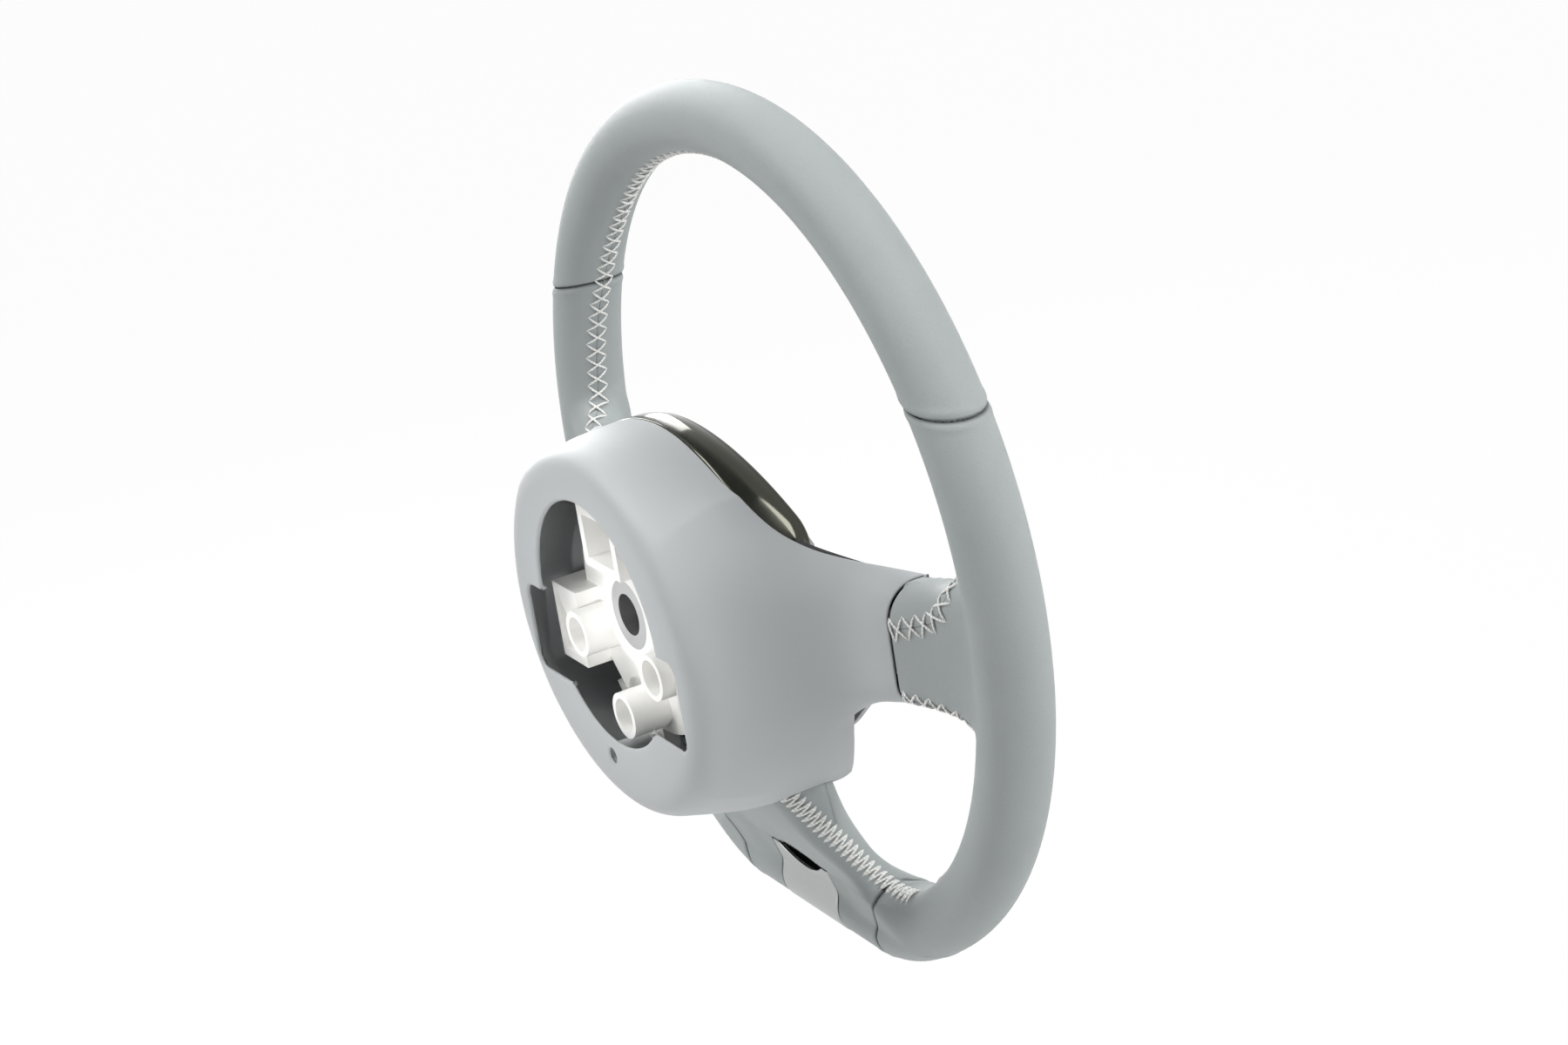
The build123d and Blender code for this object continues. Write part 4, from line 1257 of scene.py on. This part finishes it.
    def build(self, dress: bpy.types.Material) -> bpy.types.Object:
        """The cover's skin on its field, cut at its edges and openings, which are rounded over.

        Args:
            dress: the cover's material.

        Returns:
            The cover.
        """
        skin = Skin.remeshed(*self.blank(), self.voxel)
        skin.settle(self, 8)
        for level in self.edge_levels:
            skin.split(self.inside_edge, level)
            skin.split(self.outside_mouth, level)
        skin.settle(self, 2)
        centre, p = skin.centres(), skin.points
        kept = (self.inside_edge(centre) > 0) & (self.outside_mouth(centre) > 0)
        at_edge = roll(np.abs(self.inside_edge(p)), self.edge_roll)
        at_mouth = roll(np.abs(self.outside_mouth(p)), self.mouth_roll)
        skin.points = p - self.normal(p) * np.maximum(at_edge, at_mouth)[:, None]
        piece = skin.piece("moulded_rear_cover", kept, dress)
        thicken(piece, self.thickness)
        return piece

    def build_tower(self, dress: bpy.types.Material) -> bpy.types.Object:
        """The screw's tower behind its hole: a turned profile of bore, floor and outside.

        Args:
            dress: the cover's material.

        Returns:
            The tower.
        """
        back = self.rim_y + self.back
        top, floor = back - self.tower_sunk, back - self.screw_depth
        bore, shank, outer = self.screw_bore, self.screw_shank, self.screw_bore + self.tower_wall
        radius = np.array([bore, bore, shank, shank, outer, outer])[:, None]
        y = np.array([top, floor, floor, floor - self.tower_floor, floor - self.tower_floor, top])[:, None]
        turn = np.linspace(0, FULL_TURN, 48, endpoint=False)
        x = self.screw[0] + radius * np.cos(turn)
        z = self.screw[1] + radius * np.sin(turn)
        points = np.stack([x, np.broadcast_to(y, x.shape), z], -1)
        faces = grid_faces(*x.shape, wrap_rows=True, wrap_columns=True).tolist()
        piece = new_piece("screw_tower", points, faces, dress)
        piece.data.polygons.foreach_set("use_smooth", np.zeros(len(piece.data.polygons), bool))
        return piece


@dataclass
class PadFront:
    """The driver's side: chromed bezel and crowned pad on one outline."""

    rim_y: float = -76.0
    top: float = 75.0
    shoulder: tuple = (84.0, 36.0)
    foot: tuple = (58.0, -48.0)
    bottom: float = -68.0
    corner: float = 16.0
    top_front: float = 40.0
    bottom_front: float = 6.0
    side_back: float = 39.0
    arch_back: float = 48.7
    arch_fade: tuple = (30.0, 14.0)
    flank_top: float = 6.75
    cover_gap: float = 0.3
    wall: float = 5.0
    arch_proud: float = 6.0
    proud_fade: tuple = (28.0, 20.0)
    bow: float = 1.4
    bow_fade: tuple = (0.549, 0.45)
    nose: float = 2.0
    pad_gap: float = 1.2
    pad_proud: float = 7.0
    pad_edge: float = 6.0
    pad_back: float = 38.0
    pad_middle: tuple = (0.0, 2.0)
    pad_crown: float = 3.2
    pad_groove: tuple = (0.7, 0.16, 0.018)
    cover: RearCover = field(default_factory=RearCover)

    def arc(self, start: tuple, middle: tuple, end: tuple, count: int) -> Array:
        """Points of the circle through start, a middle point on the z axis, and end."""
        rise, half = middle[1] - start[1], abs(start[0])
        radius = (half**2 + rise**2) / (2 * abs(rise))
        centre = middle[1] - math.copysign(radius, rise)
        turn = math.asin(min(1.0, half / radius))
        way = np.linspace(-turn, turn, count) * (1 if end[0] > start[0] else -1)
        return np.stack([np.sin(way) * radius, centre + math.copysign(1, rise) * np.cos(way) * radius], -1)

    def outline(self, count: int = 720) -> Array:
        """The bezel's outline: an arch, two flanks and a lower arc, with rounded corners, evenly spaced.

        The corners are rounded by averaging the closed line along its length: it is spaced evenly, averaged
        by a bell-shaped window about as wide as the corner, and spaced evenly again.

        Args:
            count: number of points.

        Returns:
            x and z of each point, clockwise from the left shoulder as the driver sees it.
        """
        (sx, sz), (fx, fz) = self.shoulder, self.foot
        share = np.linspace(0, 1, 200)[:, None]
        upper = self.arc((-sx, sz), (0, self.top), (sx, sz), 400)
        right = np.array([sx, sz]) * (1 - share) + np.array([fx, fz]) * share
        lower = self.arc((fx, fz), (0, self.bottom), (-fx, fz), 300)
        left = np.array([-fx, fz]) * (1 - share) + np.array([-sx, sz]) * share
        line = np.concatenate([upper[:-1], right[:-1], lower[:-1], left[:-1]])
        fine, window = 2000, 0.72 * self.corner
        even = self.space(line, fine)
        length = run_along(np.concatenate([line, line[:1]]))[-1]
        width = 2 * int(round(fine * window / length)) + 1
        kernel = np.hanning(width + 2)[1:-1]
        kernel /= kernel.sum()
        pad = width // 2
        wrapped = np.concatenate([even[-pad:], even, even[:pad]])
        soft = np.stack([np.convolve(wrapped[:, k], kernel, "valid") for k in range(2)], -1)
        return self.space(soft, count)

    def space(self, line: Array, count: int) -> Array:
        """The closed line at a number of even steps."""
        ring = np.concatenate([line, line[:1]])
        run = run_along(ring)
        return walk(ring, run, np.linspace(0, run[-1], count, endpoint=False))

    def front(self, z: Array) -> Array:
        """The sloping front's y behind the rim at a height."""
        slope = (self.top_front - self.bottom_front) / (self.top - self.bottom)
        return self.top_front + (z - self.top) * slope

    def inward(self, line: Array) -> Array:
        """Unit directions into the outline at each of its points."""
        tangent = unit(np.roll(line, -1, 0) - np.roll(line, 1, 0))
        normal = np.stack([tangent[:, 1], -tangent[:, 0]], -1)
        return normal * np.where(np.sum(normal * -line, -1, keepdims=True) > 0, 1.0, -1.0)

    def build_bezel(self, dress: bpy.types.Material) -> bpy.types.Object:
        """The bezel: a rounded channel carried round the outline, its arch running back to the cover.

        Args:
            dress: the chrome.

        Returns:
            The bezel.
        """
        line = self.outline()
        into = self.inward(line)
        x, z = line[:, 0], line[:, 1]
        edge = self.cover.front_lines(x)[0] - self.cover_gap
        share = ease((z - self.arch_fade[0]) / self.arch_fade[1])
        back = self.side_back + (np.minimum(edge, self.arch_back) - self.side_back) * share
        back = np.where(z > self.flank_top, np.minimum(back, edge), self.side_back)
        front = self.front(z) - self.arch_proud * ease((z - self.proud_fade[0]) / self.proud_fade[1])
        along, turn = np.linspace(0, 1, 13), np.linspace(0.2, math.pi / 2, 7)
        wall_y = back + (front + self.nose - back) * along[:, None]
        nose_y = front + self.nose * (1 - np.sin(turn))[:, None]
        lip_y = np.stack([front + 0.3, front + 1.2, back])
        y = np.concatenate([wall_y, nose_y, lip_y])
        wall_in = self.bow * np.clip((along - self.bow_fade[0]) / self.bow_fade[1], 0, 1) ** 2
        nose_in = self.bow + self.nose * (1 - np.cos(turn))
        drawn = np.concatenate([wall_in, nose_in, [self.wall - 0.5, self.wall, self.wall]])
        plan = line[None] + into[None] * drawn[:, None, None]
        points = np.stack([plan[..., 0], y + self.rim_y, plan[..., 1]], -1)
        faces = grid_faces(len(points), len(line), wrap_rows=True, wrap_columns=True).tolist()
        return new_piece("chromed_bezel", points, faces, dress)

    def build_pad(self, dress: bpy.types.Material) -> bpy.types.Object:
        """The pad: rings of the outline drawn in to its middle, rounded at the edge and crowned in front.

        Args:
            dress: the pad's skin.

        Returns:
            The pad.
        """
        line = self.outline(480)
        into = self.inward(line)
        rings, depth = [line + into * (self.wall + self.pad_gap)], [np.full(len(line), self.pad_back)]
        for turn in np.linspace(0, math.pi / 2, 9):
            ring = line + into * (self.wall + self.pad_gap + self.pad_edge * (1 - math.cos(turn)))
            rings.append(ring)
            depth.append(self.front(ring[:, 1]) - self.pad_proud + self.pad_edge * (1 - math.sin(turn)))
        inner = rings[-1]
        deep, inside, width = self.pad_groove
        for share in np.linspace(0.03, 0.985, 34):
            ring = inner * (1 - share) + np.array(self.pad_middle) * share
            groove = deep * math.exp(-(((share - inside) / width) ** 2))
            crown = self.pad_crown * (1 - (1 - share) ** 2)
            rings.append(ring)
            depth.append(self.front(ring[:, 1]) - self.pad_proud - crown + groove)
        plan, y = np.stack(rings), np.stack(depth)
        points = np.stack([plan[..., 0], y + self.rim_y, plan[..., 1]], -1)
        return new_piece("crowned_pad", *closed_tube(points), dress)


@dataclass
class HornSprings:
    """The three coil springs between the pad's pins and the casting's bosses."""

    places: tuple = ((-34.0, -15.0), (34.0, -15.0), (0.0, -42.0))
    front: float = -34.0
    back: float = -26.0
    wire: float = 0.6
    radius: float = 5.85
    turns: float = 2.5

    def build(self, dress: bpy.types.Material) -> bpy.types.Object:
        """Coils of round wire: x = r cos(a), z = r sin(a), y rising with a between flat ends.

        Args:
            dress: the wire's material.

        Returns:
            The springs.
        """
        angle = np.linspace(0, FULL_TURN * self.turns, 90)
        climb = smooth_track(angle / angle[-1], [0, 0.18, 0.82, 1.0], [0.0, 0.1, 0.9, 1.0])
        y = self.front + self.wire + (self.back - self.front - 2 * self.wire) * climb
        coil = np.stack([np.cos(angle) * self.radius, y, np.sin(angle) * self.radius], -1)
        shifts = np.array([(x, 0.0, z) for x, z in self.places])
        paths = coil[None] + shifts[:, None]
        outward = np.stack([np.cos(angle), np.zeros_like(angle), np.sin(angle)], -1)
        points, faces, _ = tube_mesh(paths, np.broadcast_to(outward, paths.shape), self.wire, 8)
        return new_piece("coil_springs", points, faces, dress, outward=False)


@dataclass
class Studio:
    """Pale floor, soft lamps and the camera at the photograph's view."""

    floor_z: float = -0.62
    camera_at: tuple = (-1.2858, 0.5509, 0.5351)
    forward: tuple = (0.845, -0.4122, -0.3406)
    upward: tuple = (0.2327, -0.2899, 0.9283)
    lens: float = 84.0
    middle: tuple = (0.0, -0.04, 0.0)
    sky: float = 0.05
    floor_half: float = 6.0
    floor_glow: float = 0.975
    hub_lamp: tuple = (-1.5, 1.3)
    hub_cone: float = 1.75
    hub_power: float = 100.0
    hub_aims: tuple = (("hub_upper", 0.5, 0.021), ("hub_lower", 0.3, -0.021))
    soft_lamps: tuple = (
        ("back_high", (0.7, 1.2, 1.8), 1.2, 34.0),
        ("right", (-1.7, -0.8, 0.9), 1.0, 27.0),
        ("right_high", (-0.5, -0.82, 1.75), 0.75, 15.0),
        ("front", (-0.8, -2.0, 0.1), 1.2, 3.0),
        ("left", (1.9, -0.4, 0.6), 1.2, 29.0),
        ("back", (0.1, 2.0, 0.4), 1.0, 9.0),
    )

    def camera(self) -> None:
        """Places the camera from its forward and upward directions."""
        data = bpy.data.cameras.new("view")
        data.lens, data.sensor_width, data.clip_end = self.lens, 36.0, 50.0
        camera = bpy.data.objects.new("view", data)
        bpy.context.scene.collection.objects.link(camera)
        back = -Vector(self.forward).normalized()
        up = Vector(self.upward)
        right = up.cross(back).normalized()
        up = back.cross(right)
        turn = Matrix((right, up, back)).transposed().to_4x4()
        camera.matrix_world = Matrix.Translation(self.camera_at) @ turn
        bpy.context.scene.camera = camera

    def lamp(self, name: str, kind: str, at: tuple, aim: tuple, **settings: float) -> None:
        """Adds one lamp.

        Args:
            name: the lamp's name.
            kind: Blender's word for its kind.
            at: its place in metres.
            aim: the point that it faces.
            settings: its power in watts as energy, and the values of its kind.
        """
        data = bpy.data.lights.new(name, kind)
        for key, value in settings.items():
            setattr(data, key, value)
        lamp = bpy.data.objects.new(name, data)
        lamp.location = at
        lamp.rotation_euler = (Vector(aim) - Vector(at)).to_track_quat("-Z", "Y").to_euler()
        bpy.context.scene.collection.objects.link(lamp)

    def lamps(self) -> None:
        """Square soft lamps, named by the picture's sides, and two narrow ones that shine into the hub."""
        for name, at, size, power in self.soft_lamps:
            self.lamp(name, "AREA", at, self.middle, energy=power, size=size)
        cone = {"spot_size": math.radians(self.hub_cone), "spot_blend": 0.4, "shadow_soft_size": 0.03}
        for name, height, aim in self.hub_aims:
            at, mouth = (*self.hub_lamp, height), (0.0, 0.015, aim)
            self.lamp(name, "SPOT", at, mouth, energy=self.hub_power, **cone)

    def world(self) -> None:
        """An even pale sky that is white to the camera and to glossy and clear surfaces."""
        world = bpy.data.worlds.new("studio")
        bpy.context.scene.world = world
        world.use_nodes = True
        tree = world.node_tree
        path = tree.nodes.new("ShaderNodeLightPath")
        rays = ("Is Camera Ray", "Is Glossy Ray", "Is Transmission Ray")
        seen, glossy, clear = (Wire(tree, path.outputs[ray]) for ray in rays)
        white = seen + glossy + clear
        shine = tree.nodes["Background"]
        shine.inputs["Color"].default_value = (1.0, 1.0, 1.0, 1.0)
        strength = white + (1 - white) * self.sky
        tree.links.new(strength.socket, shine.inputs["Strength"])

    def floor(self) -> None:
        """A wide pale floor, close to white for the camera."""
        half, low = self.floor_half, self.floor_z
        corners = [(-half, -half, low), (half, -half, low), (half, half, low), (-half, half, low)]
        coat = Coat("pale_floor", Base_Color=(0.86, 0.86, 0.86, 1.0), Roughness=0.9, Specular_IOR_Level=0.1)
        seen, glossy = (coat.node("LightPath", output=ray) for ray in ("Is Camera Ray", "Is Glossy Ray"))
        glow = coat.node("Emission", None, {"Color": (1.0, 1.0, 1.0, 1.0), "Strength": 1.0})
        plain = Wire(coat.tree, coat.shader.outputs[0])
        mixed = coat.node("MixShader", None, {0: (seen + glossy) * self.floor_glow, 1: plain, 2: glow})
        output = coat.tree.nodes["Material Output"]
        coat.tree.links.new(mixed.socket, output.inputs["Surface"])
        floor = new_piece("floor", np.array(corners) / MM, [[0, 1, 2, 3]], coat.material, outward=False)

    def build(self) -> None:
        """Builds camera, sky, floor and lamps."""
        bpy.context.scene.view_settings.view_transform = "Standard"
        self.camera()
        self.world()
        self.floor()
        self.lamps()


def make_finishes() -> dict:
    """All finishes as materials, by name."""
    made = (
        Leather(),
        Thread(),
        SoftPlastic("soft_cover", (0.49, 0.51, 0.52)),
        # Painted shade: the joint tubes are dark to stand for the shade in the groove between the leather's
        # edges.
        SoftPlastic("seam_groove_shade", (0.24, 0.245, 0.25), 0.7),
        SoftPlastic("dark_panel", (0.03, 0.03, 0.033), 0.55),
        SoftPlastic("key_plastic", (0.07, 0.07, 0.076), 0.45),
        SoftPlastic("pad_skin", (0.37, 0.40, 0.40), 0.55, 1500.0, 0.00012),
        SoftPlastic("foam_skin", (0.02, 0.02, 0.02), 0.85, 700.0, 0.0003),
        Metal("satin_silver", (0.43, 0.445, 0.435), 0.36, brushed=0.5, metallic=0.9),
        Metal("dark_chrome", (0.06, 0.06, 0.05), 0.1),
        Metal("bright_casting", (0.96, 0.955, 0.93), 0.5, cast=1.0, metallic=0.1),
        Metal("zinc_steel", (0.60, 0.60, 0.61), 0.32, cast=0.3),
        Metal("black_oxide", (0.07, 0.07, 0.075), 0.4, cast=0.3),
    )
    return {finish.name: finish.material() for finish in made}


def dress_solids(frame: dict, finish: dict) -> None:
    """Gives the solids that are carried over their finishes."""
    dressed = {
        "bright_casting": ("armature",),
        "zinc_steel": ("hub_insert", "airbag_tray", "gas_inflator", "guide_pins"),
        "foam_skin": ("rim_foam",),
        "black_oxide": ("cover_screw", "pin_clips"),
        "soft_cover": ("front_apron",),
        "dark_panel": ("left_switch_panel", "right_switch_panel"),
        "satin_silver": ("lower_trim",),
        "key_plastic": ("left_upper_key", "left_lower_key", "right_upper_key", "right_lower_key"),
    }
    for name, nodes in dressed.items():
        for node in nodes:
            slots = frame["nodes"][node].data.materials
            slots.clear()
            slots.append(finish[name])


def place(piece: bpy.types.Object, body: str, slot: str, *nodes: str) -> None:
    """Hangs a piece on a body, hides the solids that it stands for, and reports it.

    Args:
        piece: the piece.
        body: the body that carries it.
        slot: not used.
        nodes: the solids that it stands for.
    """
    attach(piece, body)
    if nodes:
        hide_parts(*nodes)
    LOG.info("%s: %d faces on %s", piece.name, len(piece.data.polygons), body)


def build_pieces(finish: dict) -> None:
    """Builds every piece of the scene's own and hangs it on its body."""
    grip, cover, front = Grip(), RearCover(), PadFront()
    nodes = ("upper_leather", "lower_leather", "left_leather", "right_leather")
    for piece, node in zip(grip.build_leather(finish["grip_leather"]), nodes):
        place(piece, "wheel", "grip_leather", node)
    place(grip.build_clasp(finish["satin_silver"]), "wheel", "satin_trim", "bottom_clasp")
    place(grip.build_stitches(finish["sewing_thread"]), "wheel", "grip_leather")
    place(grip.build_butt_seams(finish["seam_groove_shade"]), "wheel", "grip_leather")
    place(cover.build(finish["soft_cover"]), "wheel", "soft_plastic", "rear_cover")
    place(cover.build_tower(finish["soft_cover"]), "wheel", "soft_plastic", "rear_cover")
    place(front.build_bezel(finish["dark_chrome"]), "wheel", "dark_chrome", "front_bezel")
    place(front.build_pad(finish["pad_skin"]), "horn_module", "pad_skin", "driver_pad")
    springs = HornSprings().build(finish["zinc_steel"])
    place(springs, "wheel", "steel", "horn_springs")
    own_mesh(springs)


def main() -> None:
    """Dresses the solids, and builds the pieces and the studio."""
    logging.basicConfig(level=logging.INFO, format="%(name)s: %(message)s")
    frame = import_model()
    finish = make_finishes()
    dress_solids(frame, finish)
    build_pieces(finish)
    Studio().build()


if __name__ == "__main__":
    main()
